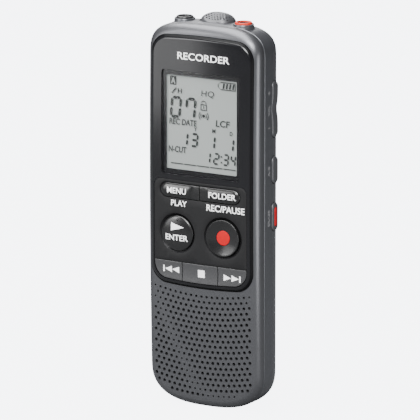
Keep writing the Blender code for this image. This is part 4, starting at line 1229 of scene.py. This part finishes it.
def word_mesh(text, centre, width, height, weight=0.014, slant=0.0):
    """Closed letters of the built-in font, fitted to a width and a height."""
    curve = bpy.data.curves.new("word", "FONT")
    curve.body = text
    curve.size = 1.0
    curve.offset = weight
    curve.extrude = 0.01
    curve.resolution_u = 4
    curve.shear = slant
    holder = bpy.data.objects.new("word", curve)
    bpy.context.scene.collection.objects.link(holder)
    mesh = evaluated_mesh(holder)
    bpy.data.objects.remove(holder)
    bpy.data.curves.remove(curve)
    points = np.array([v.co for v in mesh.vertices])
    low, high = points.min(0), points.max(0)
    for vertex in mesh.vertices:
        x = (vertex.co.x - (low[0] + high[0]) / 2) / (high[0] - low[0]) * width + centre[0]
        z = (vertex.co.y - (low[1] + high[1]) / 2) / (high[1] - low[1]) * height + centre[1]
        vertex.co = (x, z, vertex.co.z)
    return mesh


def shape_mesh(outlines):
    """Flat closed shapes, one outline each, drawn in X and Y with a thickness in Z."""
    bm = bmesh.new()
    for outline in outlines:
        stack(bm, [[(x, z, level) for x, z in outline] for level in (-0.01, 0.01)])
    bmesh.ops.recalc_face_normals(bm, faces=bm.faces)
    mesh = bpy.data.meshes.new("shape")
    bm.to_mesh(mesh)
    bm.free()
    return mesh


def join_meshes(meshes):
    bm = bmesh.new()
    for mesh in meshes:
        bm.from_mesh(mesh)
    bmesh.ops.remove_doubles(bm, verts=bm.verts[:], dist=0.0005 * MM)
    joined = bpy.data.meshes.new("joined")
    bm.to_mesh(joined)
    bm.free()
    return joined


def finely_divided(mesh, longest):
    """Flat shapes cut small enough to follow a curved surface."""
    bm = bmesh.new()
    bm.from_mesh(mesh)
    for _ in range(7):
        bm.normal_update()
        flat = [face for face in bm.faces if len(face.verts) > 3 and abs(face.normal.z) > 0.5]
        bmesh.ops.triangulate(bm, faces=flat)
        sides = [edge for edge in bm.edges
                 if (edge.verts[0].co - edge.verts[1].co).xy.length > longest]
        if not sides:
            break
        bmesh.ops.subdivide_edges(bm, edges=sides, cuts=1, use_grid_fill=True)
    bm.to_mesh(mesh)
    bm.free()
    return mesh


def print_on(name, meshes, surface, body, material=None, lift=LEGEND_HEIGHT,
             longest=0.45 * MM):
    mesh = join_meshes(meshes)
    if longest:
        mesh = finely_divided(mesh, longest)
    mesh = raise_print(mesh, surface, lift)
    add_mesh(name, mesh, material or legend_white(), body, [], 30)


def triangle(tip, base, z, half):
    return [(base, z - half), (base, z + half), (tip, z)]


def bar(left, right, low, high):
    return [(left, low), (right, low), (right, high), (left, high)]


def make_legends():
    print_on("menu_legend", [word_mesh("MENU", (-7.5 * MM, 65.3 * MM), 6.5 * MM, 1.75 * MM)],
             pill_surface, "menu")
    print_on("folder_legend", [word_mesh("FOLDER", (7.9 * MM, 65.3 * MM), 9.0 * MM, 1.75 * MM)],
             pill_surface, "folder")
    print_on("play_legend", [word_mesh("PLAY", (-7.0 * MM, 61.5 * MM), 5.4 * MM, 1.75 * MM)],
             on_front, "root")
    print_on("record_legend",
             [word_mesh("REC/PAUSE", (8.7 * MM, 61.35 * MM), 12.6 * MM, 1.95 * MM)],
             on_front, "root")
    symbol = shape_mesh([triangle(-5.1 * MM, -9.4 * MM, 54.4 * MM, 1.2 * MM)])
    word = word_mesh("ENTER", (-7.55 * MM, 51.2 * MM), 7.5 * MM, 1.75 * MM)
    print_on("enter_legend", [symbol, word], enter_surface, "enter")
    z = 41.3 * MM
    tall = 0.95 * MM
    print_on("rewind_legend", [shape_mesh([
        bar(-12.6 * MM, -12.15 * MM, z - tall, z + tall),
        triangle(-12.0 * MM, -9.6 * MM, z, tall), triangle(-9.5 * MM, -7.1 * MM, z, tall)])],
        row_surface, "rewind")
    print_on("stop_legend", [shape_mesh([bar(-0.62 * MM, 1.62 * MM, z - 0.25 * MM - 1.1 * MM,
                                             z - 0.25 * MM + 1.1 * MM)])], row_surface, "stop")
    z = 40.85 * MM
    print_on("forward_legend", [shape_mesh([
        triangle(10.4 * MM, 8.0 * MM, z, tall), triangle(13.0 * MM, 10.6 * MM, z, tall),
        bar(13.15 * MM, 13.6 * MM, z - tall, z + tall)])], row_surface, "forward")
    print_on("top_legend", [word_mesh("RECORDER", (1.0 * MM, 105.6 * MM), 17.4 * MM, 2.1 * MM,
                                      0.012)], on_front, "root")


def print_on_side(name, meshes, upright=False):
    """Print on the flat right side, reading upwards unless upright."""
    mesh = join_meshes(meshes)
    for vertex in mesh.vertices:
        along, across, up = vertex.co
        x = HALF_WIDTH + (LEGEND_HEIGHT if up > 0 else -LEGEND_HEIGHT / 2)
        y, z = (along, across) if upright else (SIDE_MARK_Y - across, along)
        vertex.co = (x, y, z)
    bm = bmesh.new()
    bm.from_mesh(mesh)
    bmesh.ops.recalc_face_normals(bm, faces=bm.faces)
    bm.to_mesh(mesh)
    bm.free()
    add_mesh(name, mesh, side_print(), "root", [], 30)


def make_side_marks():
    arm, thick = 0.55 * MM, 0.13 * MM
    signs = []
    for key_z, crossed in ((ROCKER_BOX[1].z - 3.2 * MM, True), (ROCKER_BOX[0].z + 3.2 * MM, False)):
        y = SIDE_MARK_Y
        signs.append(bar(y - arm, y + arm, key_z - thick, key_z + thick))
        if crossed:
            signs += [bar(y - thick, y + thick, key_z + thick * 1.02, key_z + arm),
                      bar(y - thick, y + thick, key_z - arm, key_z - thick * 1.02)]
    print_on_side("volume_marks", [shape_mesh(signs)], upright=True)
    words = []
    for text, box, width in (("VOL", ROCKER_BOX, 3.0), ("A-B", REPEAT_BOX, 3.0),
                             ("ERASE", ERASE_BOX, 4.8)):
        middle = (box[0].z + box[1].z) / 2
        words.append(word_mesh(text, (middle, 0.0), width * MM, 1.05 * MM))
    print_on_side("side_words", words)


# ---- Display -----------------------------------------------------------------------------------
SEGMENTS = {"0": "abcdef", "1": "bc", "2": "abged", "3": "abgcd", "4": "fgbc", "7": "fabc"}
LEAN = 0.10


def segment_bars(digit, centre, width, height, thick):
    """Seven-segment digit with pointed, slightly leaning bars."""
    half_w, half_h = width / 2 - thick / 2, height / 2 - thick / 2
    ends = {"a": ((-half_w, half_h), (half_w, half_h)), "g": ((-half_w, 0), (half_w, 0)),
            "d": ((-half_w, -half_h), (half_w, -half_h)), "f": ((-half_w, 0), (-half_w, half_h)),
            "b": ((half_w, 0), (half_w, half_h)), "e": ((-half_w, -half_h), (-half_w, 0)),
            "c": ((half_w, -half_h), (half_w, 0))}
    shapes = []
    for letter in SEGMENTS[digit]:
        start, end = (Vector(p) for p in ends[letter])
        along = (end - start).normalized()
        side = Vector((-along.y, along.x)) * thick / 2
        start, end = start + along * thick * 0.12, end - along * thick * 0.12
        cut = along * thick * 0.5
        shape = [start, start + cut - side, end - cut - side, end, end - cut + side,
                 start + cut + side]
        shapes.append([(centre[0] + p.x + LEAN * p.y, centre[1] + p.y) for p in shape])
    return shapes


def ring_shape(centre, radius, thick, start, end, steps=14):
    outer = arc(centre, radius, start, end, steps)
    return outer + list(reversed(arc(centre, radius - thick, start, end, steps)))


def make_display():
    glass_front = LCD_BOX[0].y - 0.01 * MM

    def on_glass(x, z):
        return (x, glass_front, z)

    def in_shade(x, z):
        return (x + 0.26 * MM, glass_front + 0.012 * MM, z - 0.24 * MM)

    shapes = []
    for digit, x, z, width, height, thick in (
            ("0", -8.95, 89.9, 3.8, 6.6, 0.9), ("7", -3.95, 89.9, 3.7, 6.6, 0.9),
            ("1", -5.9, 80.6, 2.3, 4.3, 0.68), ("3", -2.65, 80.6, 2.6, 4.3, 0.68),
            ("1", 3.3, 80.55, 2.3, 4.3, 0.68), ("1", 9.6, 80.4, 2.3, 4.3, 0.68),
            ("1", 1.9, 75.85, 1.9, 3.6, 0.56), ("2", 4.75, 75.8, 2.1, 3.6, 0.56),
            ("3", 7.95, 75.8, 2.1, 3.6, 0.56), ("4", 10.4, 75.8, 1.9, 3.6, 0.56)):
        shapes += segment_bars(digit, (x * MM, z * MM), width * MM, height * MM, thick * MM)
    dot = 0.24 * MM
    for z in (74.9, 76.6):
        shapes.append(bar(6.45 * MM - dot, 6.45 * MM + dot, z * MM - dot, z * MM + dot))
    left, right = -10.8 * MM, 11.4 * MM
    step = (right - left) / 5
    for i in range(5):
        shapes.append(bar(left + i * step + 0.12 * MM, left + (i + 1) * step - 0.12 * MM,
                          72.9 * MM, 73.2 * MM))
    # battery gauge
    low, high, line = 96.5 * MM, 98.9 * MM, 0.26 * MM
    shapes += [bar(6.3 * MM, 11.2 * MM, low, low + line),
               bar(6.3 * MM, 11.2 * MM, high - line, high),
               bar(11.2 * MM - line, 11.2 * MM, low + line * 1.01, high - line * 1.01),
               [(5.3 * MM, 97.25 * MM), (5.55 * MM, 97.25 * MM), (6.45 * MM, low), (6.25 * MM, low)],
               [(5.3 * MM, 98.15 * MM), (6.25 * MM, high), (6.45 * MM, high), (5.55 * MM, 98.15 * MM)],
               bar(5.2 * MM, 5.2 * MM + line, 97.25 * MM, 98.15 * MM)]
    for i in range(4):
        x = (6.75 + i * 1.08) * MM
        shapes.append([(x, low + 0.4 * MM), (x + 0.62 * MM, low + 0.4 * MM),
                       (x + 0.92 * MM, high - 0.4 * MM), (x + 0.3 * MM, high - 0.4 * MM)])
    # pencil
    shapes.append([(-10.6 * MM, 94.0 * MM), (-10.3 * MM, 94.3 * MM), (-8.9 * MM, 95.85 * MM),
                   (-8.55 * MM, 95.5 * MM), (-9.95 * MM, 93.95 * MM)])
    # closed padlock and the shake-reduction waves
    shapes += [bar(-0.6 * MM, 1.5 * MM, 89.75 * MM, 90.02 * MM),
               bar(-0.6 * MM, 1.5 * MM, 91.35 * MM, 91.62 * MM),
               bar(-0.6 * MM, -0.34 * MM, 90.03 * MM, 91.34 * MM),
               bar(1.24 * MM, 1.5 * MM, 90.03 * MM, 91.34 * MM),
               bar(0.34 * MM, 0.58 * MM, 90.3 * MM, 91.1 * MM),
               ring_shape((0.45 * MM, 91.8 * MM), 0.9 * MM, 0.26 * MM, 0, 180)]
    heart = (0.45 * MM, 88.1 * MM)
    shapes.append(circle(heart, 0.5 * MM, 20))
    for start in (-42, 138):
        shapes.append(ring_shape(heart, 1.08 * MM, 0.26 * MM, start, start + 84))
        shapes.append(ring_shape(heart, 1.7 * MM, 0.28 * MM, start, start + 84))

    words = []
    for text, x, z, width, height, weight in (
            ("H", -7.6, 94.8, 1.5, 1.5, 0.03), ("HQ", 1.8, 94.7, 4.4, 2.05, 0.0),
            ("REC DATE", -6.55, 85.6, 9.3, 1.85, 0.022), ("LCF", 6.9, 86.4, 4.8, 2.0, 0.022),
            ("Y", -2.3, 83.9, 1.0, 1.2, 0.03), ("M", 3.9, 84.0, 1.2, 1.2, 0.03),
            ("D", 9.7, 83.8, 1.0, 1.2, 0.03), ("N-CUT", -8.4, 77.3, 6.1, 1.85, 0.022)):
        words.append(word_mesh(text, (x * MM, z * MM), width * MM, height * MM, weight, 0.08))
    drawing = join_meshes([shape_mesh(shapes), *words])
    print_on("display_shade", [drawing], in_shade, "root", display_shade(), 0.012 * MM,
             None)
    print_on("display_segments", [drawing], on_glass, "root", display_ink(), 0.025 * MM,
             None)

    # reversed letter in a solid badge
    badge = bmesh.new()
    outline = rounded_rectangle((-10.9 * MM, -8.7 * MM), (96.4 * MM, 99.1 * MM), 0.15 * MM, 3)
    stack(badge, [[(x, glass_front + level, z) for x, z in outline]
                  for level in (-0.02 * MM, 0.02 * MM)])
    add_piece("display_badge", badge, display_ink(), "root", [], 30)
    print_on("display_badge_letter",
             [word_mesh("A", (-9.8 * MM, 97.75 * MM), 1.5 * MM, 1.9 * MM, 0.03)],
             lambda x, z: (x, glass_front - 0.02 * MM, z), "root",
             display_reflector(), 0.012 * MM, None)

    # black mask round the visible area
    outer = rounded_rectangle((-13.6 * MM, 13.6 * MM), (LENS_BOX[0].z - 0.4 * MM,
                                                        LENS_BOX[1].z + 0.4 * MM), 0.5 * MM, 3)
    hole = rounded_rectangle((-11.85 * MM, 11.85 * MM), (71.44 * MM, 99.55 * MM), 0.35 * MM, 4)
    mask = slab([refined(outer, 3 * MM), list(reversed(refined(hole, 3 * MM)))],
                lambda x, z, drop: (x, LCD_BOX[0].y - 0.5 * MM + drop, z),
                lambda x, z: (x, LCD_BOX[0].y - 0.42 * MM, z), [(0.0, 0.0)], 3 * MM)
    add_piece("display_mask", mask, panel_acrylic(), "root", [])
    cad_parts["lcd_module"].data.materials[0] = display_reflector()


def mask_black():
    return finish("mask_black", (0.012, 0.012, 0.013), roughness=0.4, spread=0.1,
                  grain=0.2 * MM, relief=0.001 * MM, IOR=1.1)


# ---- Upper end ---------------------------------------------------------------------------------
def mic_footprint(grow=0.0):
    points = []
    steps = 96
    half_x, half_y = MIC_BOX[1].x, (MIC_BOX[1].y - MIC_BOX[0].y) / 2
    for i in range(steps):
        angle = math.tau * i / steps
        c, s = math.cos(angle), math.sin(angle)
        points.append((math.copysign(abs(c) ** 0.75, c) * (half_x + grow),
                       MIC_Y + math.copysign(abs(s) ** 0.75, s) * (half_y + grow)))
    return points


def mic_height(x, y):
    """Dome of the microphone cover, with a scooped face that leans back."""
    half_x, half_y = MIC_BOX[1].x, (MIC_BOX[1].y - MIC_BOX[0].y) / 2
    low, high = BODY_TOP - 0.4 * MM, MIC_BOX[1].z
    away = (abs(x / half_x) ** 2.4 + abs((y - MIC_Y) / half_y) ** 2.4)
    dome = low + (high - low) * max(0.0, 1 - away) ** 0.55
    lean = low + 0.35 * MM + (y - (MIC_Y - half_y)) * MIC_SLOPE + 0.06 * x * x / MM
    soft = 0.10 * MM
    gap = max(-1.0, min(1.0, (dome - lean) / (2 * soft)))
    blend = (1 - gap) / 2 * (1 + gap) / 2 * 2 * soft
    return min(dome, lean) - blend


def make_mic_cover():
    bm = bmesh.new()
    footprint = mic_footprint()
    rings = [[(x, y, BODY_TOP - 2.2 * MM) for x, y in footprint]]
    count = 26
    for i in range(count):
        share = math.cos(math.pi / 2 * i / count)
        spots = [(x * share, MIC_Y + (y - MIC_Y) * share) for x, y in footprint]
        rings.append([(x, y, mic_height(x, y)) for x, y in spots])
    rings.append([(0.0, MIC_Y, mic_height(0.0, MIC_Y))])
    stack(bm, rings, True, False)
    cover = scratch(bm, "mic_blank")
    tilt = math.atan(MIC_SLOPE)
    apply_tree(cover, perforation_tree(), {
        "Rows": 4, "Columns": 9, "Pitch": 0.95 * MM, "Spacing": 0.75 * MM, "Lift": 0.5 * MM,
        "Half Width": 4.6 * MM, "Shoulder": -0.6 * MM, "Reach": 4.0 * MM, "Exponent": 2.2,
        "Radius": 0.25 * MM, "Depth": 3.0 * MM, "Turn": (tilt, 0, 0),
        "Place": (0, MIC_Y - 0.6 * MM, mic_height(0, MIC_Y - 0.6 * MM)),
        "Material": rear_paint()})
    mesh = cover.data
    bpy.data.objects.remove(cover)
    add_mesh("mic_cover_dome", mesh, side_key_paint(), "root", ["mic_cover"], 40)


def make_rings():
    """Coloured lip round each socket, with a dark sleeve inside it as painted shade in the bore."""
    sockets = (("headphone", "headphone_ring", -1, socket_black(), "chip_black"),
               ("microphone", "mic_jack_ring", 1, ring_red(), "orange_red"))
    top, low = RING_BOX[1].z, RING_BOX[0].z
    edge, bevel, mouth = 0.3 * MM, 0.16 * MM, 2.02 * MM
    quarter = [math.pi / 2 * i / 6 for i in range(7)]
    lip = [(mouth, low), (RING_RADIUS, low)]
    lip += [(RING_RADIUS - edge + edge * math.cos(a), top - edge + edge * math.sin(a))
            for a in quarter]
    lip += [(mouth + bevel - bevel * math.sin(a), top - bevel + bevel * math.cos(a))
            for a in quarter]
    lip.append((mouth, low))
    # the dark sleeve is painted shade: it darkens the bore where the red socket would lie in shadow
    shade_sleeve_top = top - 0.45 * MM
    outside = mouth - 0.02 * MM
    shade_sleeve = [(JACK_BORE, low), (outside, low), (outside, shade_sleeve_top),
              (JACK_BORE, shade_sleeve_top - 0.1 * MM), (JACK_BORE, low)]
    for name, node, side, material, slot in sockets:
        spot = (side * JACK_X, JACK_Y)
        add_piece(f"{name}_ring_lip", turned(spot, "Z", lip, 72), material, "root", [node],
                  50)
        add_piece(f"{name}_sleeve", turned(spot, "Z", shade_sleeve, 48), socket_black(), "root", [],
                  50)


# ---- Side controls -----------------------------------------------------------------------------
def side_key(name, node, body, box, inner_x, crown, material):
    """Long button with round ends that stands out of the right or left side."""
    sign = 1 if box[1].x > 0 else -1
    outer = box[1].x if sign > 0 else -box[0].x
    outline = refined(rounded_rectangle((box[0].y, box[1].y), (box[0].z, box[1].z),
                                        (box[1].y - box[0].y) / 2 - 0.04 * MM, 10), 0.5 * MM)

    def place(y, z, drop=0.0):
        return (sign * (outer - drop - crown(z)), y, z)

    bm = slab([outline], place, lambda y, z: (sign * inner_x, y, z),
              rounded_edge(0.45 * MM, 6), 0.8 * MM)
    add_piece(name, bm, material, body, [node], 50)


def rocker_crown(z):
    middle = (ROCKER_BOX[0].z + ROCKER_BOX[1].z) / 2
    share = (z - middle) / (ROCKER_BOX[1].z - middle)
    waist = 0.45 * MM * math.exp(-(share / 0.28) ** 2)
    return waist + 0.3 * MM * max(0.0, (abs(share) - 0.8) / 0.2) ** 2


def make_side_keys():
    side_key("volume_rocker_key", "volume_rocker", "rocker", ROCKER_BOX, SIDE_KNOB_INNER,
             rocker_crown, side_key_paint())
    side_key("repeat_button_key", "repeat_button", "repeat", REPEAT_BOX, SIDE_KEY_INNER,
             lambda z: 0.0, side_key_paint())

    outer = ERASE_BOX[1].x
    outline = refined(rounded_rectangle((ERASE_BOX[0].y, ERASE_BOX[1].y),
                                        (ERASE_BOX[0].z, ERASE_BOX[1].z),
                                        SIDE_KEY_HALF - 0.04 * MM, 10), 0.5 * MM)
    key = scratch(slab([outline], lambda y, z, drop: (outer - drop, y, z),
                       lambda y, z: (SIDE_KEY_INNER, y, z), rounded_edge(0.45 * MM, 6), 0.8 * MM))
    room = 0.08 * MM
    slot_y = (STRIPE_BOX[0].y - room, STRIPE_BOX[1].y + room)
    slot_z = (STRIPE_BOX[0].z - room, STRIPE_BOX[1].z + room)
    combine(key, scratch(side_solid((outer - 0.8 * MM, outer + 2 * MM), slot_y, slot_z,
                                    (slot_y[1] - slot_y[0]) / 2 - 0.01 * MM)))
    mesh = key.data
    bpy.data.objects.remove(key)
    add_mesh("erase_button_key", mesh, side_key_paint(), "erase", ["erase_button"], 50)
    stripe = refined(rounded_rectangle((STRIPE_BOX[0].y, STRIPE_BOX[1].y),
                                       (STRIPE_BOX[0].z, STRIPE_BOX[1].z),
                                       (STRIPE_BOX[1].y - STRIPE_BOX[0].y) / 2 - 0.01 * MM, 8),
                     0.6 * MM)
    bm = slab([stripe], lambda y, z, drop: (outer + 0.1 * MM - drop, y, z),
              lambda y, z: (outer - 0.7 * MM, y, z), rounded_edge(0.2 * MM, 4), 0.6 * MM)
    add_piece("erase_stripe_inlay", bm, record_red(), "erase", ["erase_stripe"], 50)


def make_hold_knob():
    outer = -HOLD_BOX[0].x
    outline = refined(rounded_rectangle((HOLD_BOX[0].y, HOLD_BOX[1].y),
                                        (HOLD_BOX[0].z, HOLD_BOX[1].z), 0.5 * MM, 6), 0.7 * MM)
    knob = scratch(slab([outline], lambda y, z, drop: (drop - outer, y, z),
                        lambda y, z: (-SIDE_KNOB_INNER, y, z), rounded_edge(0.3 * MM, 5), 0.8 * MM))
    apply_tree(knob, groove_tree(), {
        "Count": 4, "Step": 1.0 * MM, "Radius": 0.28 * MM, "Length": 2.4 * MM,
        "Place": (-outer - 0.05 * MM, SIDE_KEY_Y, HOLD_BOX[0].z + 1.0 * MM),
        "Turn": (math.pi / 2, 0, 0), "Material": key_gloss()})
    mesh = knob.data
    bpy.data.objects.remove(knob)
    add_mesh("hold_knob", mesh, key_gloss(), "hold", ["hold_switch"], 50)


# ---- Inner parts and the frame's own nodes -----------------------------------------------------
def inner_finishes():
    return {
        "rubber": finish("rubber", (0.10, 0.10, 0.10), roughness=0.8, grain=0.2 * MM,
                         relief=0.01 * MM),
        "steel": steel(),
        "board_green": finish("board_green", (0.02, 0.13, 0.06), roughness=0.45, spread=0.2,
                              blotch=2 * MM, grain=0.6 * MM, relief=0.02 * MM),
        "chip_black": socket_black(),
        "cloth": finish("speaker_cloth", (0.02, 0.02, 0.02), roughness=0.95, grain=0.12 * MM,
                        relief=0.03 * MM),
        "paper_cone": finish("paper_cone", (0.05, 0.05, 0.05), roughness=0.85, spread=0.2,
                             grain=0.4 * MM, relief=0.03 * MM),
        "cell": finish("cell_sleeve", (0.10, 0.22, 0.40), metallic=0.3, roughness=0.35,
                       spread=0.08, grain=0.5 * MM, relief=0.004 * MM),
        "white_plastic": finish("white_plastic", (0.75, 0.75, 0.72), roughness=0.5,
                                grain=0.2 * MM, relief=0.004 * MM),
        "rear_grey": rear_paint(),
        "case_grey": case_paint(),
        "lcd": display_reflector(),
        "orange_red": ring_red(),
        "red": record_red(),
        "key_black": key_gloss(),
        "key_grey": row_satin(),
        "gloss_black": panel_acrylic(),
        "plate_black": plate_matte(),
    }


def finish_frame_nodes():
    """Each node of the frame that stays visible gets the finish of its material slot."""
    finishes = inner_finishes()
    for label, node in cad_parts.items():
        for i, old in enumerate(node.data.materials):
            name = old.name.split(".")[0] if old else ""
            name = "paper_cone" if label == "speaker_frame" else name
            if name in finishes:
                node.data.materials[i] = finishes[name]


# ---- Stage -------------------------------------------------------------------------------------
FLOOR_GLOW = 7.0                       # strength of the light that the camera sees in the floor
FLOOR_HALF = 3.0
MIDDLE = (0, 0, 0.06)
LIGHTS = (                             # name, place, target, width and height, watts
    ("front_soft", (0.30, -0.85, 0.75), MIDDLE, (0.5, 0.5), 24.0),
    ("overhead", (-0.20, -0.10, 0.75), MIDDLE, (0.9, 0.5), 17.0),
    ("left_card", (-0.167, -0.186, 0.087), (0, 0, 0.09), (0.12, 0.09), 0.145),
    ("left_high", (-0.27, -0.38, 0.25), (0, 0, 0.1), (0.13, 0.20), 1.0),
    ("right_strip", (0.163, -0.05, 0.055), (0.018, -0.01, 0.06), (0.06, 0.1), 0.15),
    ("rear_fill", (-0.5, 0.7, 0.5), MIDDLE, (0.6, 0.5), 3.0),
)


def aim(made, target):
    made.rotation_mode = "QUATERNION"
    made.rotation_quaternion = (made.location - Vector(target)).to_track_quat("Z", "Y")


def soft_light(name, place, target, size, watts):
    light = bpy.data.lights.new(name, "AREA")
    light.shape = "RECTANGLE"
    light.size, light.size_y = size
    light.energy = watts
    made = bpy.data.objects.new(name, light)
    bpy.context.scene.collection.objects.link(made)
    made.location = place
    aim(made, target)
    made.visible_camera = False


def floor_paper(tint):
    """Pale paper, lit evenly from below for the eye, and plain grey for what it sends on."""
    made = finish("floor_paper", (0.12, 0.124, 0.128), roughness=0.8, spread=0.006,
                  blotch=90 * MM, grain=2 * MM, relief=0.02 * MM)
    g = Graph(made.node_tree)
    shader = made.node_tree.nodes["Principled BSDF"]
    shader.inputs["Emission Color"].default_value = (*tint, 1)
    seen = g.node("ShaderNodeLightPath").outputs["Is Camera Ray"]
    g.feed(shader.inputs["Emission Strength"], g.math("MULTIPLY", seen, FLOOR_GLOW))
    return made


def make_floor(tint):
    bm = bmesh.new()
    bm.faces.new([bm.verts.new((x * FLOOR_HALF, y * FLOOR_HALF, 0.0))
                  for x, y in ((-1, -1), (1, -1), (1, 1), (-1, 1))])
    mesh = bpy.data.meshes.new("floor")
    bm.to_mesh(mesh)
    bm.free()
    mesh.materials.append(floor_paper(tint))
    floor = bpy.data.objects.new("floor", mesh)
    bpy.context.scene.collection.objects.link(floor)


def make_world():
    world = bpy.data.worlds.new("studio")
    bpy.context.scene.world = world
    world.use_nodes = True
    back = world.node_tree.nodes["Background"]
    back.inputs["Color"].default_value = (0.93, 0.95, 1.0, 1.0)
    back.inputs["Strength"].default_value = 0.16


def make_camera(stage):
    data = bpy.data.cameras.new("camera")
    camera = bpy.data.objects.new("camera", data)
    bpy.context.scene.collection.objects.link(camera)
    data.sensor_width = 36.0
    data.lens = stage.lens
    data.clip_start, data.clip_end = 0.05, 20.0
    flat = math.cos(stage.elevation)
    back = Vector((math.sin(stage.azimuth) * flat, -math.cos(stage.azimuth) * flat,
                   math.sin(stage.elevation)))
    camera.location = Vector(stage.target) + back * stage.distance
    camera.rotation_mode = "QUATERNION"
    camera.rotation_quaternion = back.to_track_quat("Z", "Y")
    bpy.context.scene.camera = camera


# ---- Operators ---------------------------------------------------------------------------------
class RECORDER_OT_casings(bpy.types.Operator):
    """Build the perforated front shell, the rear shell and the battery door"""
    bl_idname = "recorder.casings"
    bl_label = "Casings"

    def execute(self, context):
        make_front_shell()
        make_rear_shell()
        make_seam_lip()
        make_grille_cloth()
        make_door()
        return {"FINISHED"}


class RECORDER_OT_panel(bpy.types.Operator):
    """Build the glossy panel, the display's window and the key plate"""
    bl_idname = "recorder.panel"
    bl_label = "Panel and Key Plate"

    def execute(self, context):
        make_panel()
        make_lens()
        make_key_plate()
        return {"FINISHED"}


class RECORDER_OT_keys(bpy.types.Operator):
    """Build the front keys"""
    bl_idname = "recorder.keys"
    bl_label = "Front Keys"

    def execute(self, context):
        make_pill_keys()
        make_row_keys()
        make_round_keys()
        return {"FINISHED"}


class RECORDER_OT_legends(bpy.types.Operator):
    """Print the legends on the keys, the plate and the right side"""
    bl_idname = "recorder.legends"
    bl_label = "Legends"

    def execute(self, context):
        make_legends()
        make_side_marks()
        return {"FINISHED"}


class RECORDER_OT_display(bpy.types.Operator):
    """Build the display's segments, badge and mask"""
    bl_idname = "recorder.display"
    bl_label = "Display"

    def execute(self, context):
        make_display()
        return {"FINISHED"}


class RECORDER_OT_upper_end(bpy.types.Operator):
    """Build the microphone cover and the socket rings"""
    bl_idname = "recorder.upper_end"
    bl_label = "Upper End"

    def execute(self, context):
        make_mic_cover()
        make_rings()
        return {"FINISHED"}


class RECORDER_OT_side_controls(bpy.types.Operator):
    """Build the rocker, the side buttons and the hold knob"""
    bl_idname = "recorder.side_controls"
    bl_label = "Side Controls"

    def execute(self, context):
        make_side_keys()
        make_hold_knob()
        return {"FINISHED"}


class RECORDER_OT_inner_parts(bpy.types.Operator):
    """Give the frame's own visible parts their finishes"""
    bl_idname = "recorder.inner_parts"
    bl_label = "Inner Parts"

    def execute(self, context):
        finish_frame_nodes()
        return {"FINISHED"}


class RECORDER_OT_stage(bpy.types.Operator):
    """Set up the floor, the soft lights and the camera"""
    bl_idname = "recorder.stage"
    bl_label = "Stage"

    def execute(self, context):
        stage = context.scene.recorder_stage
        make_floor(stage.floor)
        make_world()
        for light in LIGHTS:
            soft_light(*light)
        make_camera(stage)
        return {"FINISHED"}


STEPS = (RECORDER_OT_casings, RECORDER_OT_panel, RECORDER_OT_keys, RECORDER_OT_legends,
         RECORDER_OT_display, RECORDER_OT_upper_end, RECORDER_OT_side_controls,
         RECORDER_OT_inner_parts, RECORDER_OT_stage)


class RECORDER_PT_panel(bpy.types.Panel):
    bl_label = "Voice Recorder"
    bl_space_type = "VIEW_3D"
    bl_region_type = "UI"
    bl_category = "Recorder"

    def draw(self, context):
        for step in STEPS:
            self.layout.operator(step.bl_idname)
        for settings in (context.scene.recorder_colours, context.scene.recorder_grille,
                         context.scene.recorder_stage):
            box = self.layout.box()
            for name in settings.__annotations__:
                box.prop(settings, name)


GROUPS = {"recorder_colours": RecorderColours, "recorder_grille": RecorderGrille,
          "recorder_stage": RecorderStage}
CLASSES = (*GROUPS.values(), *STEPS, RECORDER_PT_panel)


def register():
    for cls in CLASSES:
        bpy.utils.register_class(cls)
    for name, group in GROUPS.items():
        setattr(bpy.types.Scene, name, bpy.props.PointerProperty(type=group))


def unregister():
    for name in GROUPS:
        delattr(bpy.types.Scene, name)
    for cls in reversed(CLASSES):
        bpy.utils.unregister_class(cls)


def main():
    register()
    for step in STEPS:
        group, name = step.bl_idname.split(".")
        getattr(getattr(bpy.ops, group), name)()


if __name__ == "__main__":
    main()
